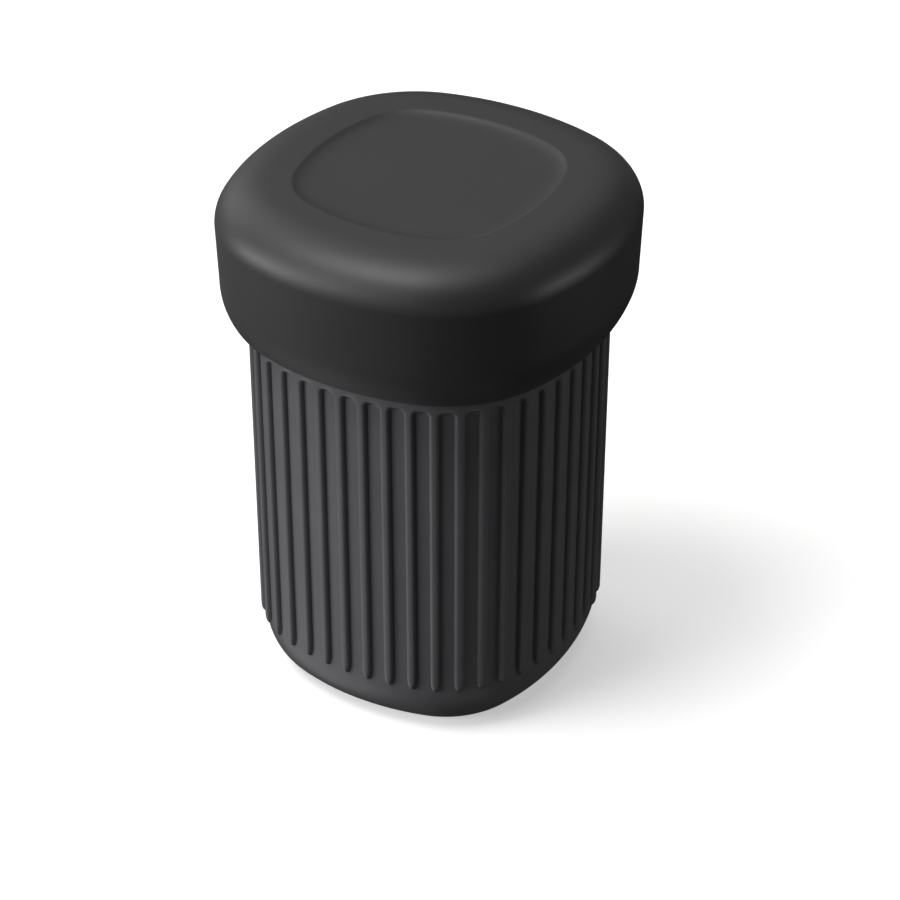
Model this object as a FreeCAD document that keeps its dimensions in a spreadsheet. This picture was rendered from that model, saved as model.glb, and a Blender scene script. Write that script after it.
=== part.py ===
import FreeCAD, Part
import math
import os
import re

import Sketcher

# Travel mug with a soft lid, and a small coffee press packed inside it, upside down.
# Millimetres, +Z up. The origin is the centre of the foot that the mug stands on.
#
# Every horizontal section of the mug, the lid and the chamber's flange is one family of rounded squares:
# four shallow side arcs and four corner arcs about fixed centres. A section is named by its half width,
# from the axis to the middle of a side, so sections of different half widths are parallel curves.

SIZES = {
    # rounded square
    "side_offset": 25.8,        # side arc centres, past the axis
    "corner_offset": 11.7,      # corner arc centres, from the axis, in X and in Y
    # chamber: its bore sets the width of everything round it
    "bore_radius": 30.3,
    "chamber_wall": 2.7,
    "flange_thick": 2.4,
    "neck_height": 6.4,
    "lug_count": 4,
    "lug_angle": 30.0,
    "lug_reach": 1.8,
    "lug_thick": 2.2,
    "lug_rise": 2.4,            # from the flange to the lugs
    # mug: its rim sets the height of everything in it
    "mug_rim": 112.0,
    "foot_room": 1.19,          # from the filter holder's corner to the base's curve
    "mug_wall": 2.2,
    "mug_flare": 1.1,           # growth in half width from the base curve to the band's top
    "neck_rise": 10.0,          # from the band's top to the rim
    "neck_step": 0.9,           # from the band in to the rim
    "band_depth": 6.0,          # height of the smooth band over the grooves
    "base_side_round": 19.2,
    "base_foot_round": 6.0,
    "base_turn": 40.0,          # degrees turned by the first of the base's two arcs
    "foot_width": 4.5,
    "foot_recess": 0.8,
    "core_lap": 3.0,            # width of floor that belongs to the wall's own sweep
    # ribs
    "rib_count": 11,            # to each side
    "rib_width": 2.6,
    "rib_height": 1.25,
    "rib_foot": 13.0,           # height of the ribs' rounded lower ends
    "rib_root": 0.6,            # depth sunk in the wall
    "groove_round": 1.2,        # at the grooves' upper corners
    # lid
    "lid_wall": 2.6,
    "lid_flare": 0.7,           # growth in half width from the foot of the side to its top
    "lip_gap": 0.3,             # between the lip and the mug's band
    "lip_cover": 2.0,           # height of band that the lip hides
    "lip_inset": 3.7,           # from the side in to the lip
    "lip_height": 11.0,
    "lip_round": 1.0,
    "crown_side_round": 8.5,
    "crown_top_round": 14.4,
    "crown_turn": 40.0,
    "dish_rim": 6.03,           # flat between the crown's curve and the dish
    "dish_depth": 1.3,
    "dish_slope": 5.0,
    "cap_room": 9.2,            # over the filter cap
    "seal_ring_thick": 2.0,
    "seal_ring_gap": 1.2,       # round the filter cap
    # filter cap
    "cap_wall": 1.9,
    "cap_plate": 2.7,
    "cap_gap": 0.4,             # round the chamber's lugs
    "cap_lug_thick": 1.3,
    "cap_round": 1.0,
    "hole_radius": 1.1,
    "hole_margin": 7.9,         # from the bore's wall to the outer ring of holes
    "hole_rings": 4,
    "scallop_count": 24,
    "scallop_radius": 1.5,
    "scallop_depth": 0.8,
    # plunger
    "plunger_play": 2.8,        # from the bore to the plunger's tube
    "plunger_wall": 2.2,
    "plunger_flange_reach": 0.5,
    "plunger_flange_thick": 3.0,
    "plunger_short": 16.5,      # from the plunger's shoulder to the chamber's end
    "plunger_end": 2.5,
    "stem_inset": 10.5,
    "stem_height": 3.0,
    "head_lip": 3.0,
    "head_height": 2.5,
    "seal_clearance": 0.08,
    "seal_cover": 5.0,          # rubber over the stem's head
    "seal_waist": 1.6,
    "seal_lip": 2.2,
    "seal_round": 1.0,
    # filter holder and papers
    "paper_lap": 1.7,           # of the papers over the bore's edge
    "paper_gap": 0.4,
    "paper_thick": 0.25,
    "paper_space": 0.05,
    "paper_count": 20,
    "holder_wall": 1.2,
    "holder_height": 8.0,
    "holder_round": 2.5,
    # scoop
    "scoop_side_room": 8.3,     # from the bowl's rim to the plunger's wall
    "scoop_depth_room": 6.3,
    "scoop_head_room": 8.2,     # over the handle
    "scoop_taper": 4.0,
    "scoop_wall": 1.5,
    "scoop_grip": 12.0,
    "scoop_grip_thick": 2.4,
    "scoop_grip_lap": 0.9,      # grip sunk in the bowl's wall
    "scoop_forward": 1.5,       # rim of the bowl, from the mug's axis
    # stirrer
    "stirrer_head_room": 9.2,   # over the hinge's axis
    "stirrer_width": 14.0,
    "stirrer_thick": 3.0,
    "paddle_short": 2.0,        # paddle, shorter than the handle
    "paddle_width": 20.0,
    "paddle_thick": 2.5,
    "paddle_slot": 3.0,
    "paddle_bar": 2.4,          # between the paddle's slots
    "paddle_shoulder": 7.8,     # from the hinge's axis to the blade's full width
    "slot_start": 19.5,         # from the hinge's axis to the slots
    "tongue_lap": 1.6,          # blade sunk in the tongue
    "hinge_radius": 3.9,
    "hinge_pin_radius": 1.5,
    "hinge_play": 0.05,
    "tongue_width": 8.0,
    "tongue_play": 0.2,
    "fold_gap": 0.3,            # each side of the fold's middle
    "stirrer_forward": 12.0,    # the fold's middle, from the mug's axis
    # resting gaps
    "rest_gap": 0.2,            # under a piece that rests on another
    "rise_gap": 0.4,            # where a piece stops just short of another
    "end_slack": 0.001,         # a rounded end's radius, over half its width
}

# Sizes that follow from the ones above.
FOLLOWING = {
    "corner_reach": "sqrt(corner_offset^2 + (corner_offset + side_offset)^2)",
    "chamber_radius": "bore_radius + chamber_wall",
    # mug
    "corner_height": "holder_bottom + holder_round",
    "base_curve": "sqrt((base_side_round - mug_wall)^2 - (base_top - corner_height)^2)",
    "groove_half": "holder_radius + foot_room + base_side_round - base_curve",
    "mug_base_half": "groove_half + rib_height",
    "mug_band_half": "mug_base_half + mug_flare",
    "neck_half": "mug_band_half - neck_step",
    "band_top": "mug_rim - neck_rise",
    "band_bottom": "band_top - band_depth",
    "base_inset": "base_side_round * (1 - cos(base_turn)) + base_foot_round * cos(base_turn)",
    "base_top": "base_side_round * sin(base_turn) + base_foot_round * (1 - sin(base_turn))",
    "mug_slope": "mug_flare / (band_top - base_top)",
    "foot_half": "groove_half - base_inset",
    "foot_inner": "foot_half - foot_width",
    "core_half": "foot_inner - core_lap",
    # holder, plunger and chamber, from the mug's floor and rim
    "paper_radius": "bore_radius + paper_lap",
    "holder_bottom": "mug_wall + rest_gap",
    "holder_top": "holder_bottom + holder_height",
    "holder_inner": "paper_radius + paper_gap",
    "holder_radius": "holder_inner + holder_wall",
    "flange_bottom": "mug_rim + rest_gap",
    "flange_top": "flange_bottom + flange_thick",
    "neck_top": "flange_top + neck_height",
    "plunger_foot": "holder_top + rise_gap",
    "plunger_flange_top": "plunger_foot + plunger_flange_thick",
    "plunger_flange": "chamber_radius + plunger_flange_reach",
    "plunger_radius": "bore_radius - plunger_play",
    "plunger_inner": "plunger_radius - plunger_wall",
    "plunger_top": "neck_top - plunger_short",
    "hollow_height": "plunger_top - plunger_end - plunger_foot",
    "chamber_foot": "plunger_flange_top + rise_gap",
    "stem_radius": "plunger_radius - stem_inset",
    "stem_top": "plunger_top + stem_height",
    "head_radius": "stem_radius + head_lip",
    "head_top": "stem_top + head_height",
    "seal_radius": "bore_radius - seal_clearance",
    "seal_top": "head_top + seal_cover",
    # filter cap
    "lug_bottom": "flange_top + lug_rise",
    "lug_radius": "chamber_radius + lug_reach",
    "cap_inner": "lug_radius + cap_gap",
    "cap_radius": "cap_inner + cap_wall",
    "cap_bottom": "flange_top + rise_gap",
    "cap_ceiling": "neck_top + rest_gap",
    "cap_top": "cap_ceiling + cap_plate",
    "cap_lug_bottom": "lug_bottom - rise_gap - cap_lug_thick",
    "hole_pitch": "(bore_radius - hole_margin) / hole_rings",
    # lid
    "lid_ceiling": "cap_top + cap_room",
    "lid_height": "lid_ceiling + lid_wall + dish_depth",
    "lid_bottom": "band_top - lip_cover",
    "lip_inner": "mug_band_half + lip_gap",
    "lip_half": "lip_inner + lid_wall",
    "lip_top": "lid_bottom + lip_height",
    "lid_low_half": "lip_half + lip_inset",
    "lid_high_half": "lid_low_half + lid_flare",
    "lip_curve": "(lip_height^2 + lip_inset^2) / (2 * lip_inset)",
    "crown_inset": "crown_side_round * (1 - cos(crown_turn)) + crown_top_round * cos(crown_turn)",
    "crown_height": "crown_side_round * sin(crown_turn) + crown_top_round * (1 - sin(crown_turn))",
    "lid_side_top": "lid_height - crown_height",
    "lid_slope": "lid_flare / (lid_side_top - lip_top)",
    "crown_half": "lid_high_half - crown_inset",
    "dish_half": "crown_half - dish_rim",
    "ring_bottom": "flange_top + rest_gap",
    "ring_top": "ring_bottom + seal_ring_thick",
    "ring_half": "cap_radius + seal_ring_gap",
    # scoop and stirrer, in the plunger's hollow
    "scoop_radius": "plunger_inner - scoop_side_room",
    "scoop_foot_radius": "scoop_radius - scoop_taper",
    "scoop_depth": "plunger_inner - scoop_depth_room",
    "scoop_length": "hollow_height - scoop_radius - scoop_head_room",
    "stirrer_length": "hollow_height - stirrer_head_room",
    "stirrer_lift": "plunger_foot + rise_gap + stirrer_length",
    "paddle_length": "stirrer_length - paddle_short",
}

UP = FreeCAD.Vector(0, 0, 1)
TINY = 1e-6                     # lengths and volumes under this count as nothing

doc = FreeCAD.newDocument("travel_press_mug")
sheet = doc.addObject("Spreadsheet::Sheet", "Sizes")
for row, (alias, number) in enumerate(SIZES.items(), start=1):
    sheet.set("A%d" % row, alias)
    sheet.set("B%d" % row, str(number))
    sheet.setAlias("B%d" % row, alias)
doc.recompute()


def bound(text):
    """An expression in the names above, written out in the sheet's own cells."""

    def swap(match):
        word = match.group(0)
        if word in SIZES:
            return "Sizes." + word
        if word in FOLLOWING:
            return "(" + bound(FOLLOWING[word]) + ")"
        return word

    return re.sub(r"[a-z_]{2,}", swap, str(text))


def value(text):
    """The number that an expression comes to."""
    return float(sheet.evalExpression(bound(text)))


def new_body(name):
    body = doc.addObject("PartDesign::Body", name)
    body.Label = name
    return body


def origin_part(body, role):
    return next(part for part in body.Origin.OriginFeatures if part.Role == role)


def new_sketch(body, name, role, height="0"):
    """A sketch on one of the body's own origin planes, lifted off it along the plane's normal."""
    sketch = body.newObject("Sketcher::SketchObject", name)
    sketch.AttachmentSupport = [(origin_part(body, role), "")]
    sketch.MapMode = "FlatFace"
    if height != "0":
        sketch.setExpression("AttachmentOffset.Base.z", bound(height))
    return sketch


def constrain(sketch, kind, *where, size=None):
    """Adds a constraint, and binds its number to an expression if it has one."""
    if size is None:
        sketch.addConstraint(Sketcher.Constraint(kind, *where))
        return
    number = value(size)
    index = sketch.addConstraint(Sketcher.Constraint(kind, *where, number))
    sketch.setExpression("Constraints[%d]" % index, bound(size))


def pin_point(sketch, geometry, end, across, up):
    """Holds a point at a distance from the sketch's origin, each way."""
    for kind, size, axis in (("DistanceX", across, -2), ("DistanceY", up, -1)):
        if abs(value(size)) < TINY:
            constrain(sketch, "PointOnObject", geometry, end, axis)
        else:
            constrain(sketch, kind, -1, 1, geometry, end, size=size)


def draw_loop(sketch, corners, arcs=None):
    """A closed loop through corners given as expressions.

    arcs maps a corner's number to (radius, side): the stretch that leaves it is an arc whose centre lies
    on the left (1) or the right (-1) of the way round.
    """
    arcs = arcs or {}
    points = [FreeCAD.Vector(value(x), value(y), 0) for x, y in corners]
    ends = []
    for number, start in enumerate(points):
        stop = points[(number + 1) % len(points)]
        if number not in arcs:
            line = sketch.addGeometry(Part.LineSegment(start, stop), False)
            ends.append((line, 1, 2))
            continue
        radius, side = arcs[number]
        chord = stop - start
        away = math.sqrt(max(value(radius) ** 2 - chord.Length ** 2 / 4, 0))
        across = FreeCAD.Vector(-chord.y, chord.x, 0).normalize() * away * side
        centre = (start + stop) * 0.5 + across
        first, last = (start, stop) if side > 0 else (stop, start)
        turn = [math.atan2(p.y - centre.y, p.x - centre.x) for p in (first, last)]
        if turn[1] < turn[0]:
            turn[1] += 2 * math.pi
        circle = Part.Circle(centre, UP, value(radius))
        arc = sketch.addGeometry(Part.ArcOfCircle(circle, turn[0], turn[1]), False)
        ends.append((arc, 1, 2) if side > 0 else (arc, 2, 1))
    for number, (geometry, start, stop) in enumerate(ends):
        following = ends[(number + 1) % len(ends)]
        constrain(sketch, "Coincident", geometry, stop, following[0], following[1])
        pin_point(sketch, geometry, start, *corners[number])
        if number in arcs:
            constrain(sketch, "Radius", geometry, size=arcs[number][0])
    return sketch


def draw_circle(sketch, radius, across="0", up="0"):
    centre = FreeCAD.Vector(value(across), value(up), 0)
    circle = sketch.addGeometry(Part.Circle(centre, UP, value(radius)), False)
    pin_point(sketch, circle, 3, across, up)
    constrain(sketch, "Radius", circle, size=radius)


def draw_rounded_square(sketch, half):
    """The family's section of the given half width: eight tangent arcs."""
    offset = value("side_offset")
    corner = value("corner_offset")
    side_radius = value(half) + offset
    corner_radius = side_radius - value("corner_reach")
    reach = math.atan2(corner, corner + offset)
    arcs = []
    for quarter in range(4):
        turn = quarter * math.pi / 2
        centre = FreeCAD.Vector(-offset * math.cos(turn), -offset * math.sin(turn), 0)
        side = Part.ArcOfCircle(Part.Circle(centre, UP, side_radius), turn - reach, turn + reach)
        arcs.append(sketch.addGeometry(side, False))
        turn += math.pi / 4
        centre = FreeCAD.Vector(math.cos(turn), math.sin(turn), 0) * corner * math.sqrt(2)
        round_corner = Part.Circle(centre, UP, corner_radius)
        angles = (turn - math.pi / 4 + reach, turn + math.pi / 4 - reach)
        arcs.append(sketch.addGeometry(Part.ArcOfCircle(round_corner, *angles), False))
    for number, arc in enumerate(arcs):
        constrain(sketch, "Tangent", arc, 2, arcs[(number + 1) % len(arcs)], 1)
    for quarter in range(4):
        side, round_corner = arcs[2 * quarter], arcs[2 * quarter + 1]
        along_x = quarter % 2 == 0
        sign = "-" if quarter < 2 else ""
        constrain(sketch, "PointOnObject", side, 3, -1 if along_x else -2)
        kind = "DistanceX" if along_x else "DistanceY"
        constrain(sketch, kind, -1, 1, side, 3, size=sign + "side_offset")
        constrain(sketch, "Radius", side, size=half + " + side_offset")
        constrain(sketch, "Radius", round_corner, size=half + " + side_offset - corner_reach")
    return sketch


def pad(body, name, sketch, length, backwards=False):
    feature = body.newObject("PartDesign::Pad", name)
    feature.Profile = sketch
    feature.setExpression("Length", bound(length))
    feature.Reversed = backwards
    doc.recompute()
    return feature


def pocket(body, name, sketch, length, backwards=False):
    """Cuts a sketch out of a body, and stops if the cut takes nothing away."""
    before = body.Shape.Volume
    feature = body.newObject("PartDesign::Pocket", name)
    feature.Profile = sketch
    feature.setExpression("Length", bound(length))
    feature.Reversed = backwards
    doc.recompute()
    if feature.Shape.Volume > before - TINY:
        raise RuntimeError("the pocket %s cuts nothing" % name)
    return feature


def revolve(body, name, sketch):
    feature = body.newObject("PartDesign::Revolution", name)
    feature.Profile = sketch
    feature.ReferenceAxis = (sketch, ["V_Axis"])
    feature.Angle = 360
    doc.recompute()
    return feature


def sweep_round(body, name, section, spine):
    """Takes an upright section round a rounded square."""
    feature = body.newObject("PartDesign::AdditivePipe", name)
    feature.Profile = section
    feature.Spine = (spine, [""])
    feature.Mode = "Standard"
    feature.Transition = "Transformed"
    doc.recompute()
    return feature


def repeat_round(body, name, features, count):
    """Copies features evenly round the body's Z axis."""
    before = body.Shape.Volume
    pattern = body.newObject("PartDesign::PolarPattern", name)
    pattern.Originals = features
    pattern.Axis = (origin_part(body, "Z_Axis"), [""])
    pattern.Angle = 360
    if str(count).isdigit():
        pattern.Occurrences = int(count)
    else:
        pattern.setExpression("Occurrences", bound(count))
    body.Tip = pattern
    doc.recompute()
    if abs(pattern.Shape.Volume - before) < TINY:
        raise RuntimeError("the pattern %s adds nothing" % name)
    return pattern


def mug_half(height):
    """Half width over the ribs at a height on the mug's straight side."""
    return "(mug_base_half + mug_slope * (%s - base_top))" % height


def make_mug():
    body = new_body("mug")
    core = draw_rounded_square(new_sketch(body, "mug_core_outline", "XY_Plane", "foot_recess"), "core_half")
    pad(body, "mug_core", core, "mug_wall - foot_recess")
    spine = draw_rounded_square(new_sketch(body, "mug_spine", "XY_Plane"), "foot_half")
    turn_x, turn_z = "cos(base_turn)", "sin(base_turn)"
    knee_half = "foot_half + base_foot_round * " + turn_x
    knee_height = "base_foot_round * (1 - %s)" % turn_z
    inner_knee_half = "foot_half + (base_foot_round - mug_wall) * " + turn_x
    inner_knee_height = "base_foot_round - (base_foot_round - mug_wall) * " + turn_z
    inner_rim = mug_half("mug_rim") + " - rib_height - mug_wall"
    corners = [
        ("core_half", "foot_recess"),
        ("foot_inner", "foot_recess"),
        ("foot_inner", "0"),
        ("foot_half", "0"),
        (knee_half, knee_height),
        ("groove_half", "base_top"),
        (mug_half("band_bottom") + " - rib_height", "band_bottom"),
        (mug_half("band_bottom"), "band_bottom"),
        ("mug_band_half", "band_top"),
        ("neck_half", "band_top + (mug_band_half - neck_half)"),
        ("neck_half", "mug_rim"),
        (inner_rim, "mug_rim"),
        ("groove_half - mug_wall", "base_top"),
        (inner_knee_half, inner_knee_height),
        ("foot_half", "mug_wall"),
        ("core_half", "mug_wall"),
    ]
    arcs = {
        3: ("base_foot_round", 1),
        4: ("base_side_round", 1),
        12: ("base_side_round - mug_wall", -1),
        13: ("base_foot_round - mug_wall", -1),
    }
    section = draw_loop(new_sketch(body, "mug_section", "XZ_Plane"), corners, arcs)
    sweep_round(body, "mug_wall_sweep", section, spine)
    add_ribs(body)
    return body


def add_ribs(body):
    """One side's ribs, evenly spaced along the section, then all four sides."""
    half = value(mug_half("(base_top + band_bottom) / 2"))
    offset, corner = value("side_offset"), value("corner_offset")
    side_radius = half + offset
    corner_radius = side_radius - value("corner_reach")
    reach = math.atan2(corner, corner + offset)
    side_length = side_radius * reach
    quarter_length = 2 * (side_length + corner_radius * (math.pi / 4 - reach))
    count = int(value("rib_count"))
    slope = math.atan(value("mug_slope"))
    root_half = value("groove_half") - value("rib_root")
    ribs = []
    for number in range(count):
        along = (number - (count - 1) / 2) * quarter_length / count
        side = math.copysign(1, along)
        if abs(along) <= side_length:
            turn = along / side_radius
            centre = FreeCAD.Vector(-offset, 0, 0)
            away = root_half + offset
        else:
            turn = side * (reach + (abs(along) - side_length) / corner_radius)
            centre = FreeCAD.Vector(corner, side * corner, 0)
            away = root_half + offset - value("corner_reach")
        out = FreeCAD.Vector(math.cos(turn), math.sin(turn), 0)
        across = FreeCAD.Vector(-math.sin(turn), math.cos(turn), 0)
        up = out * math.sin(slope) + FreeCAD.Vector(0, 0, math.cos(slope))
        foot = centre + out * away + FreeCAD.Vector(0, 0, value("base_top"))
        sketch = new_sketch(body, "rib_outline_%d" % (number + 1), "XY_Plane")
        sketch.AttachmentOffset = FreeCAD.Placement(foot, FreeCAD.Rotation(across, up, out, "XYZ"))
        draw_rib(sketch)
        ribs.append(pad(body, "rib_%d" % (number + 1), sketch, "rib_root + rib_height"))
    repeat_round(body, "ribs_all_round", ribs, 4)


def draw_rib(sketch):
    """A rib seen from outside, from the height of the base's top: round below, flared into the band above."""
    low = "rib_foot - base_top + rib_width / 2"
    flare = "band_bottom - base_top - groove_round"
    top = "band_bottom - base_top"
    edge = "rib_width / 2"
    wide = "rib_width / 2 + groove_round"
    buried = "band_bottom - base_top + groove_round"
    corners = [
        (edge, low),
        (edge, flare),
        (wide, top),
        (wide, buried),
        ("-(%s)" % wide, buried),
        ("-(%s)" % wide, top),
        ("-(%s)" % edge, flare),
        ("-(%s)" % edge, low),
    ]
    arcs = {1: ("groove_round", -1), 5: ("groove_round", -1), 7: ("rib_width / 2 + end_slack", 1)}
    draw_loop(sketch, corners, arcs)


def make_lid():
    body = new_body("lid")
    core_height = "lid_height - dish_depth"
    core = draw_rounded_square(new_sketch(body, "lid_core_outline", "XY_Plane", "lid_ceiling"), "core_half")
    pad(body, "lid_core", core, "lid_wall")
    spine = draw_rounded_square(new_sketch(body, "lid_spine", "XY_Plane"), "lid_low_half")
    turn_x, turn_z = "cos(crown_turn)", "sin(crown_turn)"
    knee = (
        "lid_high_half - crown_side_round * (1 - %s)" % turn_x,
        "lid_side_top + crown_side_round * " + turn_z,
    )
    inner_knee = (
        "lid_high_half - crown_side_round + (crown_side_round - lid_wall) * " + turn_x,
        "lid_side_top + (crown_side_round - lid_wall) * " + turn_z,
    )

    def inside(height):
        return "lid_low_half - lid_wall + lid_slope * (%s - lip_top)" % height

    corners = [
        ("lip_inner", "lid_bottom"),
        ("lip_half - lip_round", "lid_bottom"),
        ("lip_half", "lid_bottom + lip_round"),
        ("lid_low_half", "lip_top"),
        ("lid_high_half", "lid_side_top"),
        knee,
        ("crown_half", "lid_height"),
        ("dish_half", "lid_height"),
        ("dish_half - dish_slope", core_height),
        ("core_half", core_height),
        ("core_half", "lid_ceiling"),
        ("crown_half - dish_depth", "lid_ceiling"),
        ("crown_half", "lid_height - lid_wall"),
        inner_knee,
        ("lid_high_half - lid_wall", "lid_side_top"),
        (inside("ring_top"), "ring_top"),
        ("ring_half", "ring_top"),
        ("ring_half", "ring_bottom"),
        (inside("ring_bottom"), "ring_bottom"),
        ("lid_low_half - lid_wall", "lip_top"),
    ]
    arcs = {
        1: ("lip_round", 1),
        2: ("lip_curve", 1),
        4: ("crown_side_round", 1),
        5: ("crown_top_round", 1),
        12: ("crown_top_round - lid_wall", -1),
        13: ("crown_side_round - lid_wall", -1),
        19: ("lip_curve - lid_wall", -1),
    }
    section = draw_loop(new_sketch(body, "lid_section", "XZ_Plane"), corners, arcs)
    sweep_round(body, "lid_shell", section, spine)
    return body


def ring_sector(body, name, inner, outer, angle, height, thick, count):
    """A lug between two radii, and its copies round the axis."""
    low, high = "-(%s) / 2" % angle, "(%s) / 2" % angle
    corners = [
        ("(%s) * cos(%s)" % (inner, low), "(%s) * sin(%s)" % (inner, low)),
        ("(%s) * cos(%s)" % (outer, low), "(%s) * sin(%s)" % (outer, low)),
        ("(%s) * cos(%s)" % (outer, high), "(%s) * sin(%s)" % (outer, high)),
        ("(%s) * cos(%s)" % (inner, high), "(%s) * sin(%s)" % (inner, high)),
    ]
    sketch = new_sketch(body, name + "_outline", "XY_Plane", height)
    draw_loop(sketch, corners, {1: (outer, 1), 3: (inner, -1)})
    lug = pad(body, name, sketch, thick)
    repeat_round(body, name + "_all", [lug], count)


def make_chamber():
    body = new_body("chamber")
    wall = [
        ("bore_radius", "chamber_foot"),
        ("chamber_radius", "chamber_foot"),
        ("chamber_radius", "neck_top"),
        ("bore_radius", "neck_top"),
    ]
    revolve(body, "chamber_tube", draw_loop(new_sketch(body, "chamber_section", "XZ_Plane"), wall))
    flange = draw_rounded_square(new_sketch(body, "flange_outline", "XY_Plane", "flange_bottom"), "neck_half")
    draw_circle(flange, "bore_radius + chamber_wall / 2")
    pad(body, "flange", flange, "flange_thick")
    inner = "bore_radius + chamber_wall / 2"
    ring_sector(body, "lug", inner, "lug_radius", "lug_angle", "lug_bottom", "lug_thick", "lug_count")
    return body


def make_filter_cap():
    body = new_body("filter_cap")
    profile = [
        ("0", "cap_ceiling"),
        ("cap_inner", "cap_ceiling"),
        ("cap_inner", "cap_bottom"),
        ("cap_radius", "cap_bottom"),
        ("cap_radius", "cap_top - cap_round"),
        ("cap_radius - cap_round", "cap_top"),
        ("0", "cap_top"),
    ]
    revolve(body, "cap_shell", draw_loop(new_sketch(body, "cap_section", "XZ_Plane"), profile))
    ring_sector(
        body, "cap_lug", "chamber_radius + cap_gap", "cap_inner + cap_wall / 2", "lug_angle",
        "cap_lug_bottom", "cap_lug_thick", "lug_count",
    )
    middle = new_sketch(body, "middle_hole", "XY_Plane", "cap_top")
    draw_circle(middle, "hole_radius")
    pocket(body, "middle_cut", middle, "cap_plate")
    for ring in range(1, int(value("hole_rings")) + 1):
        sketch = new_sketch(body, "hole_outline_%d" % ring, "XY_Plane", "cap_top")
        draw_circle(sketch, "hole_radius", "hole_pitch * %d" % ring)
        hole = pocket(body, "hole_%d" % ring, sketch, "cap_plate")
        repeat_round(body, "hole_ring_%d" % ring, [hole], 6 * ring)
    grip = new_sketch(body, "scallop_outline", "XY_Plane", "cap_top")
    draw_circle(grip, "scallop_radius", "cap_radius + scallop_radius - scallop_depth")
    scallop = pocket(body, "scallop", grip, "cap_top - cap_bottom")
    repeat_round(body, "scallops", [scallop], "scallop_count")
    return body


def make_plunger_tube():
    body = new_body("plunger_tube")
    profile = [
        ("plunger_inner", "plunger_foot"),
        ("plunger_flange", "plunger_foot"),
        ("plunger_flange", "plunger_flange_top"),
        ("plunger_radius", "plunger_flange_top"),
        ("plunger_radius", "plunger_top"),
        ("stem_radius", "plunger_top"),
        ("stem_radius", "stem_top"),
        ("head_radius", "stem_top"),
        ("head_radius", "head_top"),
        ("0", "head_top"),
        ("0", "plunger_top - plunger_end"),
        ("plunger_inner", "plunger_top - plunger_end"),
    ]
    revolve(body, "plunger_shell", draw_loop(new_sketch(body, "plunger_section", "XZ_Plane"), profile))
    return body


def make_plunger_seal():
    body = new_body("plunger_seal")
    profile = [
        ("stem_radius", "plunger_top"),
        ("seal_radius", "plunger_top"),
        ("seal_radius", "plunger_top + seal_lip"),
        ("seal_radius - seal_waist", "plunger_top + seal_lip + seal_waist"),
        ("seal_radius - seal_waist", "seal_top - seal_lip - seal_waist"),
        ("seal_radius", "seal_top - seal_lip"),
        ("seal_radius", "seal_top - seal_round"),
        ("seal_radius - seal_round", "seal_top"),
        ("0", "seal_top"),
        ("0", "head_top"),
        ("head_radius", "head_top"),
        ("head_radius", "stem_top"),
        ("stem_radius", "stem_top"),
    ]
    revolve(body, "seal_shell", draw_loop(new_sketch(body, "seal_section", "XZ_Plane"), profile))
    return body


def make_filter_holder():
    body = new_body("filter_holder")
    profile = [
        ("0", "holder_bottom"),
        ("holder_radius - holder_round", "holder_bottom"),
        ("holder_radius", "holder_bottom + holder_round"),
        ("holder_radius", "holder_top"),
        ("holder_inner", "holder_top"),
        ("holder_inner", "holder_bottom + holder_wall"),
        ("0", "holder_bottom + holder_wall"),
    ]
    section = draw_loop(new_sketch(body, "holder_section", "XZ_Plane"), profile, {1: ("holder_round", 1)})
    revolve(body, "holder_shell", section)
    return body


def make_paper_filters():
    papers = []
    for number in range(int(value("paper_count"))):
        paper = doc.addObject("Part::Cylinder", "paper_%d" % (number + 1))
        paper.setExpression("Radius", bound("paper_radius"))
        paper.setExpression("Height", bound("paper_thick"))
        lift = "holder_bottom + holder_wall + paper_space + (paper_thick + paper_space) * %d" % number
        paper.setExpression("Placement.Base.z", bound(lift))
        papers.append(paper)
    stack = doc.addObject("Part::Compound", "paper_filters")
    stack.Label = "paper_filters"
    stack.Links = papers
    doc.recompute()
    return stack


def stand_up(body, along, forward, lift):
    """Turns a flat piece on end: its X goes along the given way, and its Z forward."""
    across = FreeCAD.Vector(along.z, 0, 0)
    turned = FreeCAD.Rotation(along, across, FreeCAD.Vector(0, 1, 0), "XYZ")
    body.Placement = FreeCAD.Placement(FreeCAD.Vector(0, value(forward), value(lift)), turned)
    doc.recompute()
    return body


def make_scoop():
    """Drawn with the bowl's rim at height 0 and the handle along X, then stood on end in the plunger."""
    body = new_body("scoop")
    bowl = [
        ("0", "-scoop_depth"),
        ("scoop_foot_radius", "-scoop_depth"),
        ("scoop_radius", "0"),
        ("scoop_radius - scoop_wall", "0"),
        ("scoop_foot_radius - scoop_wall", "-(scoop_depth - scoop_wall)"),
        ("0", "-(scoop_depth - scoop_wall)"),
    ]
    revolve(body, "bowl", draw_loop(new_sketch(body, "bowl_section", "XZ_Plane"), bowl))
    grip = new_sketch(body, "grip_outline", "XY_Plane")
    start, end = "scoop_radius - scoop_grip_lap", "scoop_length - scoop_grip / 2"
    low, high = "-scoop_grip / 2", "scoop_grip / 2"
    corners = [(start, low), (end, low), (end, high), (start, high)]
    draw_loop(grip, corners, {1: ("scoop_grip / 2 + end_slack", 1)})
    pad(body, "grip", grip, "scoop_grip_thick", backwards=True)
    return stand_up(body, UP, "scoop_forward", "plunger_foot + rest_gap + scoop_radius")


def stand_stirrer(body):
    """The stirrer's pieces are drawn about the hinge, along X, then hung from it inside the plunger."""
    return stand_up(body, -UP, "stirrer_forward", "stirrer_lift")


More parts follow.
